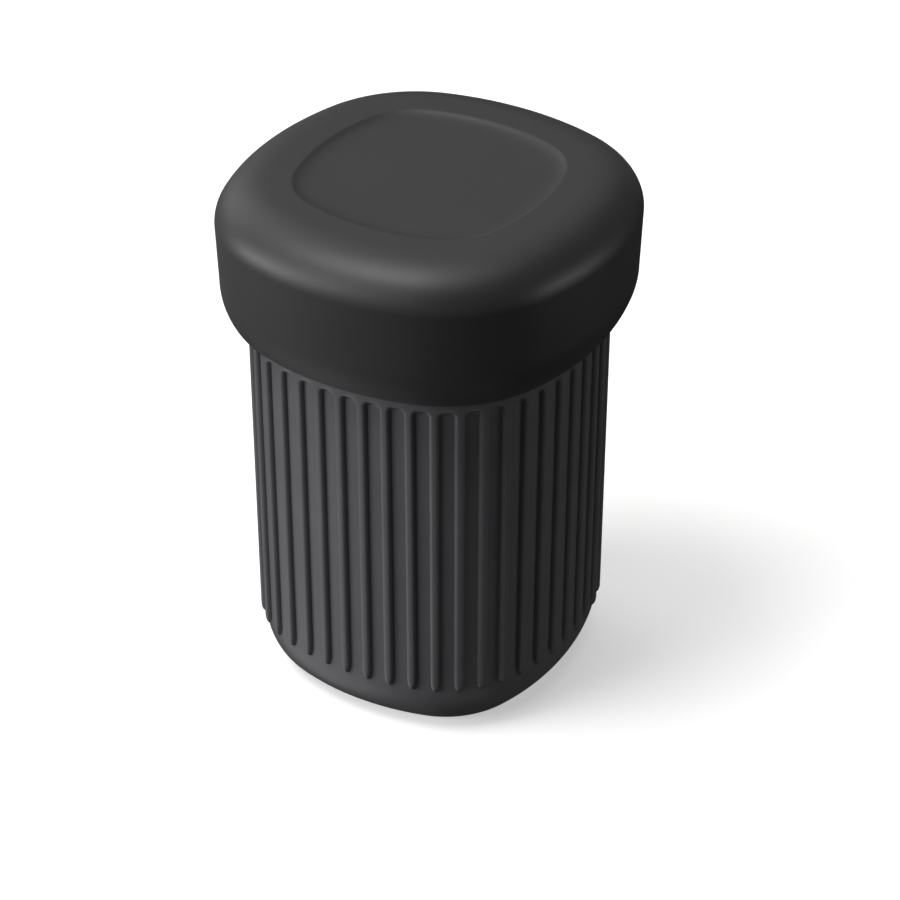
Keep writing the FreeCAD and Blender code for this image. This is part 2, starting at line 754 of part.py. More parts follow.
def make_stirrer_handle():
    body = new_body("stirrer_handle")
    ear_start = "tongue_width / 2 + tongue_play"
    clear = "hinge_radius + rise_gap"
    plate = new_sketch(body, "handle_outline", "XY_Plane", "fold_gap")
    half, tip = "stirrer_width / 2", "stirrer_length - stirrer_width / 2"
    corners = [
        ("0", ear_start), (clear, ear_start), (clear, "-(%s)" % ear_start), ("0", "-(%s)" % ear_start),
        ("0", "-(%s)" % half), (tip, "-(%s)" % half), (tip, half), ("0", half),
    ]
    draw_loop(plate, corners, {5: ("stirrer_width / 2 + end_slack", 1)})
    pad(body, "handle_plate", plate, "stirrer_thick")
    for side, name in ((1, "left"), (-1, "right")):
        start = ear_start if side > 0 else "-(%s)" % half
        ear = new_sketch(body, "%s_ear_outline" % name, "XZ_Plane", start)
        draw_circle(ear, "hinge_radius")
        pad(body, "%s_ear" % name, ear, "%s - (%s)" % (half, ear_start))
    bore = new_sketch(body, "ear_bore_outline", "XZ_Plane", half)
    draw_circle(bore, "hinge_pin_radius")
    pocket(body, "ear_bore", bore, "stirrer_width")
    return stand_stirrer(body)


def make_stirrer_paddle():
    body = new_body("stirrer_paddle")
    neck, half = "tongue_width / 2", "paddle_width / 2"
    root, start, end = "hinge_radius - tongue_lap", "paddle_shoulder", "paddle_length - paddle_width / 2"
    blade = new_sketch(body, "blade_outline", "XY_Plane", "-(fold_gap + paddle_thick)")
    corners = [
        (root, "-(%s)" % neck), (start, "-(%s)" % neck), (start, "-(%s)" % half),
        (end, "-(%s)" % half), (end, half), (start, half), (start, neck), (root, neck),
    ]
    draw_loop(blade, corners, {3: ("paddle_width / 2 + end_slack", 1)})
    pad(body, "blade", blade, "paddle_thick")
    tongue = new_sketch(body, "tongue_outline", "XZ_Plane", "-(%s)" % neck)
    draw_circle(tongue, "hinge_radius")
    pad(body, "tongue", tongue, "tongue_width")
    bore = new_sketch(body, "tongue_bore_outline", "XZ_Plane", neck)
    draw_circle(bore, "hinge_pin_radius + hinge_play")
    pocket(body, "tongue_bore", bore, "tongue_width")
    for number, side in enumerate((-1, 0, 1)):
        slot = new_sketch(body, "slot_outline_%d" % (number + 1), "XY_Plane", "-fold_gap")
        middle = "(paddle_slot + paddle_bar) * %d" % side
        low, high = middle + " - paddle_slot / 2", middle + " + paddle_slot / 2"
        near, far = "slot_start", "paddle_length - paddle_width"
        draw_loop(slot, [(near, low), (far, low), (far, high), (near, high)])
        pocket(body, "slot_%d" % (number + 1), slot, "paddle_thick")
    return stand_stirrer(body)


def make_stirrer_pin():
    pin = doc.addObject("Part::Cylinder", "stirrer_pin")
    pin.Label = "stirrer_pin"
    pin.setExpression("Radius", bound("hinge_pin_radius"))
    pin.setExpression("Height", bound("stirrer_width"))
    across = FreeCAD.Rotation(FreeCAD.Vector(0, 1, 0), 90)
    start = FreeCAD.Vector(-value("stirrer_width") / 2, value("stirrer_forward"), value("stirrer_lift"))
    pin.Placement = FreeCAD.Placement(start, across)
    doc.recompute()
    return pin


def check_document(pieces):
    """Stops if anything failed to compute, or a piece isn't valid."""
    for thing in doc.Objects:
        if "Invalid" in thing.State or "Error" in thing.State:
            raise RuntimeError("%s did not compute: %s" % (thing.Name, thing.State))
    for piece in pieces:
        if piece.Shape.isNull() or not piece.Shape.isValid():
            raise RuntimeError("%s has no valid shape" % piece.Label)


PIECES = [
    make_mug(),
    make_lid(),
    make_chamber(),
    make_filter_cap(),
    make_plunger_tube(),
    make_plunger_seal(),
    make_filter_holder(),
    make_paper_filters(),
    make_scoop(),
    make_stirrer_handle(),
    make_stirrer_paddle(),
    make_stirrer_pin(),
]
doc.recompute()
check_document(PIECES)
os.makedirs("parts", exist_ok=True)
for piece in PIECES:
    piece.Shape.exportStep(os.path.join("parts", piece.Label + ".step"))
    box = piece.Shape.BoundBox
    print(
        "%-15s solids %d  volume %9.1f  x %.2f..%.2f  y %.2f..%.2f  z %.2f..%.2f"
        % (piece.Label, len(piece.Shape.Solids), piece.Shape.Volume, box.XMin, box.XMax, box.YMin, box.YMax,
           box.ZMin, box.ZMax)
    )
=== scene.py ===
import logging
import math
from dataclasses import dataclass, field
from enum import Enum
from typing import Any

import bpy
from mathutils import Matrix, Vector


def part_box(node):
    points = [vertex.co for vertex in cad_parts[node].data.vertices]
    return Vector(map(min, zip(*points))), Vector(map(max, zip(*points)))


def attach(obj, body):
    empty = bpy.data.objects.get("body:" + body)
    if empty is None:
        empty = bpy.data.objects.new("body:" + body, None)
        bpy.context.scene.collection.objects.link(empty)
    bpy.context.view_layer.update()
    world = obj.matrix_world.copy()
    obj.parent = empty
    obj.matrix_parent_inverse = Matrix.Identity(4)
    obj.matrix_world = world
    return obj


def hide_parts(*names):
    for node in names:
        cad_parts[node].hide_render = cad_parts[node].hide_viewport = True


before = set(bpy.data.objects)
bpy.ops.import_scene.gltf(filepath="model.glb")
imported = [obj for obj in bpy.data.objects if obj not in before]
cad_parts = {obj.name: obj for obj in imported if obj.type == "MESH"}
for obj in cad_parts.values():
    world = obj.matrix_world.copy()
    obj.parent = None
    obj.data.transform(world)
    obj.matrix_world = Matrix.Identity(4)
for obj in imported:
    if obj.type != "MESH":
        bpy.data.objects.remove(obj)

MM = 0.001
log = logging.getLogger("travel_press")

Point = tuple[float, float]


# ---------------------------------------------------------------------------------------------------
# Colours and nodes
# ---------------------------------------------------------------------------------------------------


def linear(hex_colour: str) -> tuple[float, float, float, float]:
    """Turns an sRGB colour into the linear one that a shader takes.

    Args:
        hex_colour: Six hexadecimal digits, such as "3a3b3d".

    Returns:
        Linear red, green and blue, and an alpha of 1.
    """
    channels = []
    for start in (0, 2, 4):
        level = int(hex_colour[start:start + 2], 16) / 255
        channels.append(level / 12.92 if level <= 0.04045 else ((level + 0.055) / 1.055) ** 2.4)
    return channels[0], channels[1], channels[2], 1.0


def add_node(
    tree: bpy.types.NodeTree, kind: str, inputs: dict[Any, Any] | None = None, **settings: Any,
) -> Any:
    """Adds one node, with its settings, and fills its inputs.

    Args:
        tree: The shader or geometry tree that takes the node.
        kind: Blender's identifier of the node.
        inputs: Input name or number, to a plain value or to another node's output socket.
        **settings: The node's own properties.

    Returns:
        The new node.
    """
    made = tree.nodes.new(kind)
    for name, setting in settings.items():
        setattr(made, name, setting)
    for key, given in (inputs or {}).items():
        if isinstance(given, bpy.types.NodeSocket):
            tree.links.new(given, made.inputs[key])
        else:
            made.inputs[key].default_value = given
    return made


def maths(tree: bpy.types.NodeTree, operation: str, first: Any, second: Any) -> Any:
    """Adds a Math node, and returns the socket with its result."""
    return add_node(tree, "ShaderNodeMath", {0: first, 1: second}, operation=operation).outputs[0]


def flat_length(tree: bpy.types.NodeTree, across: Any, up: Any) -> Any:
    """Adds the nodes for the length of a flat vector, and returns the socket with it."""
    way = add_node(tree, "ShaderNodeCombineXYZ", {"X": across, "Y": up}).outputs["Vector"]
    return add_node(tree, "ShaderNodeVectorMath", {0: way}, operation="LENGTH").outputs["Value"]


def start_material(name: str) -> tuple[bpy.types.Material, bpy.types.NodeTree, Any]:
    """Starts a node material.

    Args:
        name: The material's name.

    Returns:
        The material, its empty tree and the socket with the Object coordinates.
    """
    made = bpy.data.materials.new(name)
    made.use_nodes = True
    tree = made.node_tree
    tree.nodes.clear()
    return made, tree, add_node(tree, "ShaderNodeTexCoord").outputs["Object"]


def noise(tree: bpy.types.NodeTree, place: Any, width: float, inputs: dict[str, float]) -> Any:
    """Adds a noise whose patches are about as wide as given, in mm, and returns its socket."""
    inputs = {"Vector": place, "Scale": 1 / (width * MM), **inputs}
    return add_node(tree, "ShaderNodeTexNoise", inputs).outputs["Fac"]


def remap(tree: bpy.types.NodeTree, level: Any, limits: dict[str, float]) -> Any:
    """Adds a Map Range node, and returns the socket with its result."""
    return add_node(tree, "ShaderNodeMapRange", {"Value": level, **limits}).outputs["Result"]


def two_tone(tree: bpy.types.NodeTree, share: Any, first: str, second: str) -> Any:
    """Adds a mix of two sRGB colours, and returns its socket."""
    inputs = {0: share, 6: linear(first), 7: linear(second)}
    return add_node(tree, "ShaderNodeMix", inputs, data_type="RGBA").outputs[2]


def bumps(tree: bpy.types.NodeTree, height: Any, depth: float) -> Any:
    """Adds a bump of the given depth, in mm, and returns its Normal socket."""
    inputs = {"Strength": 1.0, "Distance": depth * MM, "Height": height}
    return add_node(tree, "ShaderNodeBump", inputs).outputs["Normal"]


def finish_material(tree: bpy.types.NodeTree, inputs: dict[str, Any]) -> None:
    """Ends a material: its surface, from the shader's inputs, and the output."""
    shader = add_node(tree, "ShaderNodeBsdfPrincipled", inputs)
    add_node(tree, "ShaderNodeOutputMaterial", {"Surface": shader.outputs["BSDF"]})


# ---------------------------------------------------------------------------------------------------
# Finishes: each says what the real material is and how its surface was made
# ---------------------------------------------------------------------------------------------------


@dataclass(frozen=True)
class Grain:
    """A moulded surface's fine texture.

    Attributes:
        size: Width of one grain, in mm.
        depth: Height of the grain in the bump, in mm.
        mottle: Width of the broad, faint change of shade, in mm.
        contrast: How far the shade changes, from 0 to 1.
    """

    size: float
    depth: float
    mottle: float
    contrast: float


@dataclass(frozen=True)
class Moulded:
    """An opaque moulded plastic or rubber.

    Attributes:
        name: The material's name: what it is and how it was made.
        deep: Colour in the darker mottling.
        pale: Colour in the lighter mottling.
        rough: Roughness where the mould was smoothest.
        rougher: Roughness where it was duller.
        ior: Index of refraction.
        grain: The surface's texture.
        sheen: Strength of the soft, dusty glow at grazing angles that silicone has.
    """

    name: str
    deep: str
    pale: str
    rough: float
    rougher: float
    ior: float
    grain: Grain
    sheen: float = 0.0

    def material(self) -> bpy.types.Material:
        """Builds the material.

        Returns:
            A new node material on Object coordinates.
        """
        made, tree, place = start_material(self.name)
        mottle = noise(tree, place, self.grain.mottle, {"Detail": 3.0, "Roughness": 0.55})
        swing = self.grain.contrast / 2
        limits = {"From Min": 0.3, "From Max": 0.7, "To Min": 0.5 - swing, "To Max": 0.5 + swing}
        shade = two_tone(tree, remap(tree, mottle, limits), self.deep, self.pale)
        grain = noise(tree, place, self.grain.size, {"Detail": 2.0, "Roughness": 0.6})
        roughness = remap(tree, mottle, {"To Min": self.rough, "To Max": self.rougher})
        finish_material(tree, {
            "Base Color": shade, "Roughness": roughness, "Normal": bumps(tree, grain, self.grain.depth),
            "IOR": self.ior, "Sheen Weight": self.sheen, "Sheen Roughness": 0.6,
        })
        return made


@dataclass(frozen=True)
class ClearMoulded:
    """A see-through moulded plastic with a smoke tint.

    Attributes:
        name: The material's name.
        tint: Colour that the plastic gives the light that crosses it.
        rough: Roughness where the surface is clearest.
        rougher: Roughness where it is hazy.
        haze: Width of the hazy patches, in mm.
        clearness: How much light crosses, from 0 to 1.
        ior: Index of refraction.
        ripple: Depth of the surface's faint ripple, in mm.
    """

    name: str
    tint: str
    rough: float
    rougher: float
    haze: float
    clearness: float
    ior: float = 1.52
    ripple: float = 0.01

    def material(self) -> bpy.types.Material:
        """Builds the material.

        Returns:
            A new node material on Object coordinates.
        """
        made, tree, place = start_material(self.name)
        haze = noise(tree, place, self.haze, {"Detail": 4.0})
        roughness = remap(tree, haze, {"To Min": self.rough, "To Max": self.rougher})
        finish_material(tree, {
            "Base Color": linear(self.tint), "Roughness": roughness, "Normal": bumps(tree, haze, self.ripple),
            "IOR": self.ior, "Transmission Weight": self.clearness,
        })
        return made


@dataclass(frozen=True)
class FilterPaper:
    """Uncoated filter paper: long fibres, off-white, with a fine crepe.

    Attributes:
        name: The material's name.
        pale: Colour of the sheet.
        fibre: Colour of the darker fibres.
        fibre_width: Width of a fibre, in mm, drawn coarser than the real 0.03 mm so that it shows.
        crepe: Depth of the crepe, in mm.
    """

    name: str = "filter_paper_wet_laid"
    pale: str = "f1ece0"
    fibre: str = "cfc6b2"
    fibre_width: float = 0.3
    crepe: float = 0.04

    def material(self) -> bpy.types.Material:
        """Builds the material.

        Returns:
            A new node material on Object coordinates.
        """
        made, tree, place = start_material(self.name)
        fibres = noise(tree, place, self.fibre_width, {"Detail": 6.0, "Distortion": 1.5})
        thin = remap(tree, fibres, {"From Min": 0.52, "From Max": 0.7})
        finish_material(tree, {
            "Base Color": two_tone(tree, thin, self.pale, self.fibre), "Roughness": 0.92, "IOR": 1.5,
            "Normal": bumps(tree, fibres, self.crepe), "Sheen Weight": 0.1,
        })
        return made


# Silicone rubber, moulded in a blasted tool: soft and matt, with a faint bloom at its edges.
LID_SILICONE = Moulded(
    "silicone_moulded_blasted", "212121", "252525", 0.46, 0.52, 1.49, Grain(0.35, 0.012, 18.0, 0.5),
    sheen=0.05,
)
# Polypropylene, moulded in a satin tool: slightly blue, a broad soft gleam along each rib.
MUG_PLASTIC = Moulded(
    "polypropylene_moulded_satin", "5a5a5d", "616164", 0.30, 0.36, 1.52, Grain(0.30, 0.006, 14.0, 0.6),
)
# Polypropylene in black, satin: the press's small pieces.
BLACK_PLASTIC = Moulded(
    "polypropylene_moulded_black", "17171a", "202024", 0.38, 0.50, 1.49, Grain(0.28, 0.008, 9.0, 0.6),
)
# Thermoplastic rubber, moulded: dull black, grips the chamber's bore.
SEAL_RUBBER = Moulded(
    "seal_rubber_moulded", "121212", "1c1c1c", 0.62, 0.78, 1.5, Grain(0.4, 0.02, 7.0, 0.8), sheen=0.1,
)
# Copolyester, moulded and polished: smoke grey and clear.
CHAMBER_PLASTIC = ClearMoulded("copolyester_moulded_smoke", "8a8e92", 0.08, 0.16, 12.0, 0.82)
PLUNGER_PLASTIC = ClearMoulded("copolyester_moulded_smoke_inner", "7b7f83", 0.10, 0.20, 12.0, 0.78)
FILTER_PAPER = FilterPaper()


# ---------------------------------------------------------------------------------------------------
# Shapes
# ---------------------------------------------------------------------------------------------------


class Round(Enum):
    """The two kinds of ring that a skin is made of."""

    SQUARE = "rounded square"
    CIRCLE = "circle"


@dataclass(frozen=True)
class Station:
    """One place round a rounded square. Sections of every half width cross it at right angles.

    Attributes:
        centre: Centre of the arc that the place is on, in mm.
        out: Direction that points outwards.
        extra: The arc's radius, less the section's half width, in mm.
        from_rib: Distance to the middle of the nearest rib, in mm.
    """

    centre: Point
    out: Point
    extra: float
    from_rib: float = 0.0

    def at(self, half: float) -> Point:
        """Where the section of that half width crosses this station, in mm."""
        reach = half + self.extra
        return self.centre[0] + self.out[0] * reach, self.centre[1] + self.out[1] * reach


@dataclass(frozen=True)
class RoundedSquare:
    """The family of sections that the mug, the lid and the chamber's flange share.

    Attributes:
        side_offset: How far past the axis a side's arc has its centre, in mm.
        corner_offset: A corner arc's centre, from the axis, in X and in Y, in mm.
        smallest: Half width under which a section is only a smaller copy, in mm.
    """

    side_offset: float = 25.8
    corner_offset: float = 11.7
    smallest: float = 16.0

    @property
    def corner_reach(self) -> float:
        """Distance from a side's arc centre to a corner's, in mm."""
        return math.hypot(self.corner_offset, self.corner_offset + self.side_offset)

    @property
    def side_turn(self) -> float:
        """Half the angle of a side's arc, in radians."""
        return math.atan2(self.corner_offset, self.corner_offset + self.side_offset)

    def eighth(self, half: float) -> tuple[float, float]:
        """Lengths of half a side and of half a corner, in mm, on the section of that half width."""
        side = (half + self.side_offset) * self.side_turn
        corner = (half + self.side_offset - self.corner_reach) * (math.pi / 4 - self.side_turn)
        return side, corner

    def station(self, along: float, half: float, from_rib: float = 0.0) -> Station:
        """Finds a place round the section.

        Args:
            along: Distance from the middle of the +X side, counter-clockwise, in mm.
            half: Half width of the section that the distance is measured on, in mm.
            from_rib: Kept with the station.

        Returns:
            The station there.
        """
        side, corner = self.eighth(half)
        quarter = 2 * (side + corner)
        turns = round(along / quarter)
        rest = along - turns * quarter
        sign = math.copysign(1.0, rest)
        if abs(rest) <= side:
            angle = rest / (half + self.side_offset)
            centre = Vector((-self.side_offset, 0))
            extra = self.side_offset
        else:
            extra = self.side_offset - self.corner_reach
            angle = sign * (self.side_turn + (abs(rest) - side) / (half + extra))
            centre = Vector((self.corner_offset, sign * self.corner_offset))
        spin = Matrix.Rotation(turns * math.pi / 2, 2)
        centre = spin @ centre
        out = spin @ Vector((math.cos(angle), math.sin(angle)))
        return Station(tuple(centre), tuple(out), extra, from_rib)

    def even_stations(self, half: float, count: int) -> list[Station]:
        """Stations at equal distances round the section of that half width."""
        side, corner = self.eighth(half)
        step = 8 * (side + corner) / count
        return [self.station(number * step, half) for number in range(count)]

    def ring(self, stations: list[Station], half: float) -> list[Point]:
        """The section of that half width, as one point for each station, in mm."""
        if half >= self.smallest:
            return [station.at(half) for station in stations]
        share = half / self.smallest
        return [(x * share, y * share) for x, y in self.ring(stations, self.smallest)]


SECTION = RoundedSquare()


@dataclass(frozen=True)
class Sector:
    """Equal stretches of a circle, evenly spaced round it. Angles in degrees.

    Attributes:
        count: Number of stretches.
        angle: Angle that each takes.
        turn: Where the first has its middle.
        ramp: Angle over which a stretch starts and ends.
    """

    count: int
    angle: float
    turn: float = 0.0
    ramp: float = 2.0

    def share(self, way: Vector) -> float:
        """How far a direction is inside a stretch, from 0 outside to 1 well inside."""
        step = 360 / self.count
        angle = math.degrees(math.atan2(way.y, way.x)) - self.turn
        off = abs((angle + step / 2) % step - step / 2)
        return min(max(((self.angle + self.ramp) / 2 - off) / self.ramp, 0.0), 1.0)


@dataclass(frozen=True)
class Knot:
    """A corner of a profile.

    Attributes:
        out: Half width or radius, in mm.
        up: Height, in mm.
        fillet: Radius of the rounding at this corner, in mm.
        kind: Whether the ring here is a rounded square or a circle.
        proud: How much larger a circle is inside its sector's stretches, in mm.
        sector: Those stretches.
    """

    out: float
    up: float
    fillet: float = 0.0
    kind: Round = Round.CIRCLE
    proud: float = 0.0
    sector: Sector | None = None


def arc(centre: Point, radius: float, start: float, stop: float, steps: int, kind: Round) -> list[Knot]:
    """A stretch of a circle in a profile.

    Args:
        centre: Half width and height of its centre, in mm.
        radius: In mm.
        start: Angle above the outward direction where it starts, in degrees.
        stop: Angle where it ends.
        steps: Number of chords.
        kind: Kind of ring.

    Returns:
        The knots, both ends included.
    """
    knots = []
    for step in range(steps + 1):
        angle = math.radians(start + (stop - start) * step / steps)
        out, up = centre[0] + radius * math.cos(angle), centre[1] + radius * math.sin(angle)
        knots.append(Knot(out, up, 0.0, kind))
    return knots


# A rounding takes at most this share of the edge beside it.
MOST_CUT = 0.49
# A holding ring is left out where it would come further along the edge than this share.
MOST_HELD = 0.45


def soften(knots: list[Knot], closed: bool = False, steps: int = 4, hold: float = 0.25) -> list[Knot]:
    """Rounds a profile's corners, and adds a ring each side of a rounding so that flats stay flat.

    Args:
        knots: The profile's corners.
        closed: Whether the last corner joins the first.
        steps: Chords in each rounding.
        hold: Distance of the holding rings from a rounding, in mm.

    Returns:
        A longer profile.
    """
    done: list[Knot] = []
    count = len(knots)
    for number, knot in enumerate(knots):
        ends = not closed and number in (0, count - 1)
        if knot.fillet <= 0 or ends:
            done.append(knot)
            continue
        here = Vector((knot.out, knot.up))
        before, after = knots[number - 1], knots[(number + 1) % count]
        back = Vector((before.out, before.up)) - here
        on = Vector((after.out, after.up)) - here
        half_angle = back.angle(on) / 2
        cut = min(knot.fillet / math.tan(half_angle), back.length * MOST_CUT, on.length * MOST_CUT)
        radius = cut * math.tan(half_angle)
        back_way, on_way = back.normalized(), on.normalized()
        centre = here + (back_way + on_way).normalized() * (radius / math.sin(half_angle))
        first = (here + back_way * cut - centre).normalized()
        last = (here + on_way * cut - centre).normalized()
        if cut + hold < back.length * MOST_HELD:
            place = here + back_way * (cut + hold)
            done.append(Knot(place.x, place.y, 0.0, knot.kind))
        for step in range(steps + 1):
            place = centre + first.slerp(last, step / steps, first) * radius
            done.append(Knot(place.x, place.y, 0.0, knot.kind))
        if cut + hold < on.length * MOST_HELD:
            place = here + on_way * (cut + hold)
            done.append(Knot(place.x, place.y, 0.0, knot.kind))
    return done


def new_thing(name: str, points: list[Any], faces: list[Any]) -> bpy.types.Object:
    """Makes an object with a mesh of its own.

    Args:
        name: Name of both.
        points: The mesh's points, in metres.
        faces: Its faces, as lists of point numbers.

    Returns:
        The object, in the scene.
    """
    mesh = bpy.data.meshes.new(name)
    mesh.from_pydata(points, [], faces)
    thing = bpy.data.objects.new(name, mesh)
    bpy.context.scene.collection.objects.link(thing)
    return thing


def bake(thing: bpy.types.Object) -> bpy.types.Mesh:
    """Replaces an object's mesh by what its modifiers make of it, and removes them."""
    bpy.context.view_layer.update()
    evaluated = thing.evaluated_get(bpy.context.evaluated_depsgraph_get())
    mesh = bpy.data.meshes.new_from_object(evaluated)
    mesh.name = thing.name
    thing.modifiers.clear()
    old, thing.data = thing.data, mesh
    bpy.data.meshes.remove(old)
    return mesh


def ring_points(knot: Knot, stations: list[Station]) -> list[Vector]:
    """A ring of a skin, one point for each station, in metres."""
    if knot.kind is Round.SQUARE:
        flat = SECTION.ring(stations, knot.out)
    else:
        ways = [Vector(station.at(SECTION.smallest * 2)).normalized() for station in stations]
        reach = [knot.out + (knot.proud * knot.sector.share(way) if knot.sector else 0.0) for way in ways]
        flat = [(way.x * far, way.y * far) for way, far in zip(ways, reach)]
    return [Vector((x * MM, y * MM, knot.up * MM)) for x, y in flat]


def skin(name: str, knots: list[Knot], stations: list[Station], closed: bool = False) -> bpy.types.Object:
    """Makes a closed surface from a profile that goes round the axis.

    The profile runs so that the solid is on its left: from the middle of the underside, outwards, up,
    and back to the axis.

    Args:
        name: The object's name.
        knots: The profile. An open one starts and ends on the axis.
        stations: Places round the axis, counter-clockwise.
        closed: Whether the profile is a loop that stays off the axis.

    Returns:
        A new object with a smooth mesh.
    """
    points: list[Vector] = []
    rings: list[list[int]] = []
    for number, knot in enumerate(knots):
        if not closed and number in (0, len(knots) - 1):
            rings.append([len(points)] * len(stations))
            points.append(Vector((0, 0, knot.up * MM)))
            continue
        rings.append(list(range(len(points), len(points) + len(stations))))
        points.extend(ring_points(knot, stations))
    faces = []
    pairs = list(zip(rings, rings[1:]))
    if closed:
        pairs.append((rings[-1], rings[0]))
    for low, high in pairs:
        for place in range(len(stations)):
            beside = (place + 1) % len(stations)
            face = [low[place], low[beside], high[beside], high[place]]
            faces.append(list(dict.fromkeys(face)))
    thing = new_thing(name, points, faces)
    thing.data.shade_smooth()
    thing.data.validate()
    return thing


# ---------------------------------------------------------------------------------------------------
# Geometry Nodes
# ---------------------------------------------------------------------------------------------------


def geometry_tree(name: str, numbers: dict[str, float]) -> tuple[bpy.types.NodeTree, Any, Any]:
    """Starts a tree with named inputs.

    Args:
        name: The tree's name.
        numbers: Input names and their values.

    Returns:
        The tree, its input node and its output node.
    """
    tree = bpy.data.node_groups.new(name, "GeometryNodeTree")
    tree.interface.new_socket("Geometry", in_out="INPUT", socket_type="NodeSocketGeometry")
    for label in numbers:
        tree.interface.new_socket(label, in_out="INPUT", socket_type="NodeSocketFloat")
    tree.interface.new_socket("Material", in_out="INPUT", socket_type="NodeSocketMaterial")
    tree.interface.new_socket("Geometry", in_out="OUTPUT", socket_type="NodeSocketGeometry")
    return tree, add_node(tree, "NodeGroupInput"), add_node(tree, "NodeGroupOutput")


def run_tree(
    thing: bpy.types.Object, tree: bpy.types.NodeTree, numbers: dict[str, float],
    material: bpy.types.Material,
) -> bpy.types.Object:
    """Runs a tree on an object and keeps the result as a plain mesh.

    Args:
        thing: The object that the tree changes.
        tree: The tree.
        numbers: Values of its named inputs.
        material: Value of its Material input.

    Returns:
        The same object, with its new mesh and no modifier.
    """
    modifier = thing.modifiers.new(tree.name, "NODES")
    modifier.node_group = tree
    given: dict[str, Any] = dict(numbers)
    given["Material"] = material
    for item in tree.interface.items_tree:
        if item.in_out == "INPUT" and item.name in given:
            modifier[item.identifier] = given[item.name]
    bake(thing)
    return thing


def finish_tree(tree: bpy.types.NodeTree, geometry: Any, source: Any, output: Any) -> None:
    """Ends a tree: real geometry, then its material."""
    real = add_node(tree, "GeometryNodeRealizeInstances", {"Geometry": geometry}).outputs["Geometry"]
    inputs = {"Geometry": real, "Material": source.outputs["Material"]}
    dressed = add_node(tree, "GeometryNodeSetMaterial", inputs)
    tree.links.new(dressed.outputs["Geometry"], output.inputs["Geometry"])


def slab(name: str, outline: list[Point], low: float, high: float) -> bpy.types.Object:
    """A flat solid with a given outline, in mm.

    Args:
        name: The object's name.
        outline: Corners, counter-clockwise seen from above.
        low: Height of its underside.
        high: Height of its top.

    Returns:
        A new object.
    """
    count = len(outline)
    points = [Vector((x, y, up)) * MM for up in (low, high) for x, y in outline]
    faces = [tuple(reversed(range(count))), tuple(range(count, 2 * count))]
    for place in range(count):
        beside = (place + 1) % count
        faces.append((place, beside, count + beside, count + place))
    return new_thing(name, points, faces)


def round_outline(centre: Point, radius: float, start: float, stop: float, steps: int) -> list[Point]:
    """Points along an arc of an outline, both ends included. Angles in degrees, sizes in mm."""
    angles = [math.radians(start + (stop - start) * step / steps) for step in range(steps + 1)]
    return [(centre[0] + radius * math.cos(angle), centre[1] + radius * math.sin(angle)) for angle in angles]


def rod(name: str, radius: float, low: float, high: float, columns: int = 64) -> bpy.types.Object:
    """A round bar along the Y axis, in mm.

    Args:
        name: The object's name.
        radius: Its radius.
        low: Y of one end.
        high: Y of the other.
        columns: Number of sides.

    Returns:
        A new object.
    """
    thing = slab(name, round_outline((0, 0), radius, 0, 360 - 360 / columns, columns - 1), -high, -low)
    thing.data.transform(Matrix.Rotation(math.pi / 2, 4, "X"))
    return thing


# Edges that turn by more than this are rounded by carve, in degrees.
EDGE_ANGLE = 35.0
# Edges that turn by more than this stay sharp in shading: by default, and on the flat carved pieces.
SHARP_ANGLE = 35.0
FLAT_ANGLE = 20.0


def carve(
    solids: list[bpy.types.Object], cuts: list[bpy.types.Object], rounding: float, place: Matrix,
) -> bpy.types.Object:
    """Welds solids, cuts others out, rounds the sharp edges and puts the mesh in its place.

    Args:
        solids: What is welded. The first keeps its name.
        cuts: What is taken away.
        rounding: Radius of the edges, in mm.
        place: Where the finished mesh goes.

    Returns:
        The first object, with the finished mesh.
    """
    thing = solids[0]
    steps = [(other, "UNION") for other in solids[1:]] + [(other, "DIFFERENCE") for other in cuts]
    for other, operation in steps:
        modifier = thing.modifiers.new(operation, "BOOLEAN")
        modifier.object, modifier.operation, modifier.solver = other, operation, "EXACT"
    edges = thing.modifiers.new("edges", "BEVEL")
    edges.width, edges.segments = rounding * MM, 2
    edges.limit_method, edges.angle_limit = "ANGLE", math.radians(EDGE_ANGLE)
    mesh = bake(thing)
    for other, _ in steps:
        bpy.data.meshes.remove(other.data)
    mesh.transform(place)
    smooth_faces(mesh, FLAT_ANGLE)
    return thing


def smooth_faces(mesh: bpy.types.Mesh, sharp: float = SHARP_ANGLE) -> None:
    """Shades a mesh smooth, but for edges that turn by more than an angle, in degrees."""
    mesh.shade_smooth()
    mesh.set_sharp_from_angle(angle=math.radians(sharp))


def standing(along: Vector, origin: Vector) -> Matrix:
    """The place of a flat piece that stands on end: its X goes along, its Z goes to +Y. Metres."""
    across = Vector((along.z, 0, 0))
    turn = Matrix((along, across, Vector((0, 1, 0)))).transposed().to_4x4()
    return Matrix.Translation(origin) @ turn


def place_piece(
    thing: bpy.types.Object, body: str, node: str, material: bpy.types.Material,
) -> None:
    """Dresses a finished piece, puts it on its body and lets it stand for its CAD node.

    Args:
        thing: The finished piece.
        body: The body that it rides on.
        node: The CAD node that it replaces.
        material: Its finish.
    """
    if not thing.data.materials:
        thing.data.materials.append(material)
    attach(thing, body)
    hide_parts(node)
    triangles = sum(len(face.vertices) - 2 for face in thing.data.polygons)
    log.info("%s: %d triangles, on body %s, stands for %s", thing.name, triangles, body, node)


# ---------------------------------------------------------------------------------------------------
# The mug
# ---------------------------------------------------------------------------------------------------


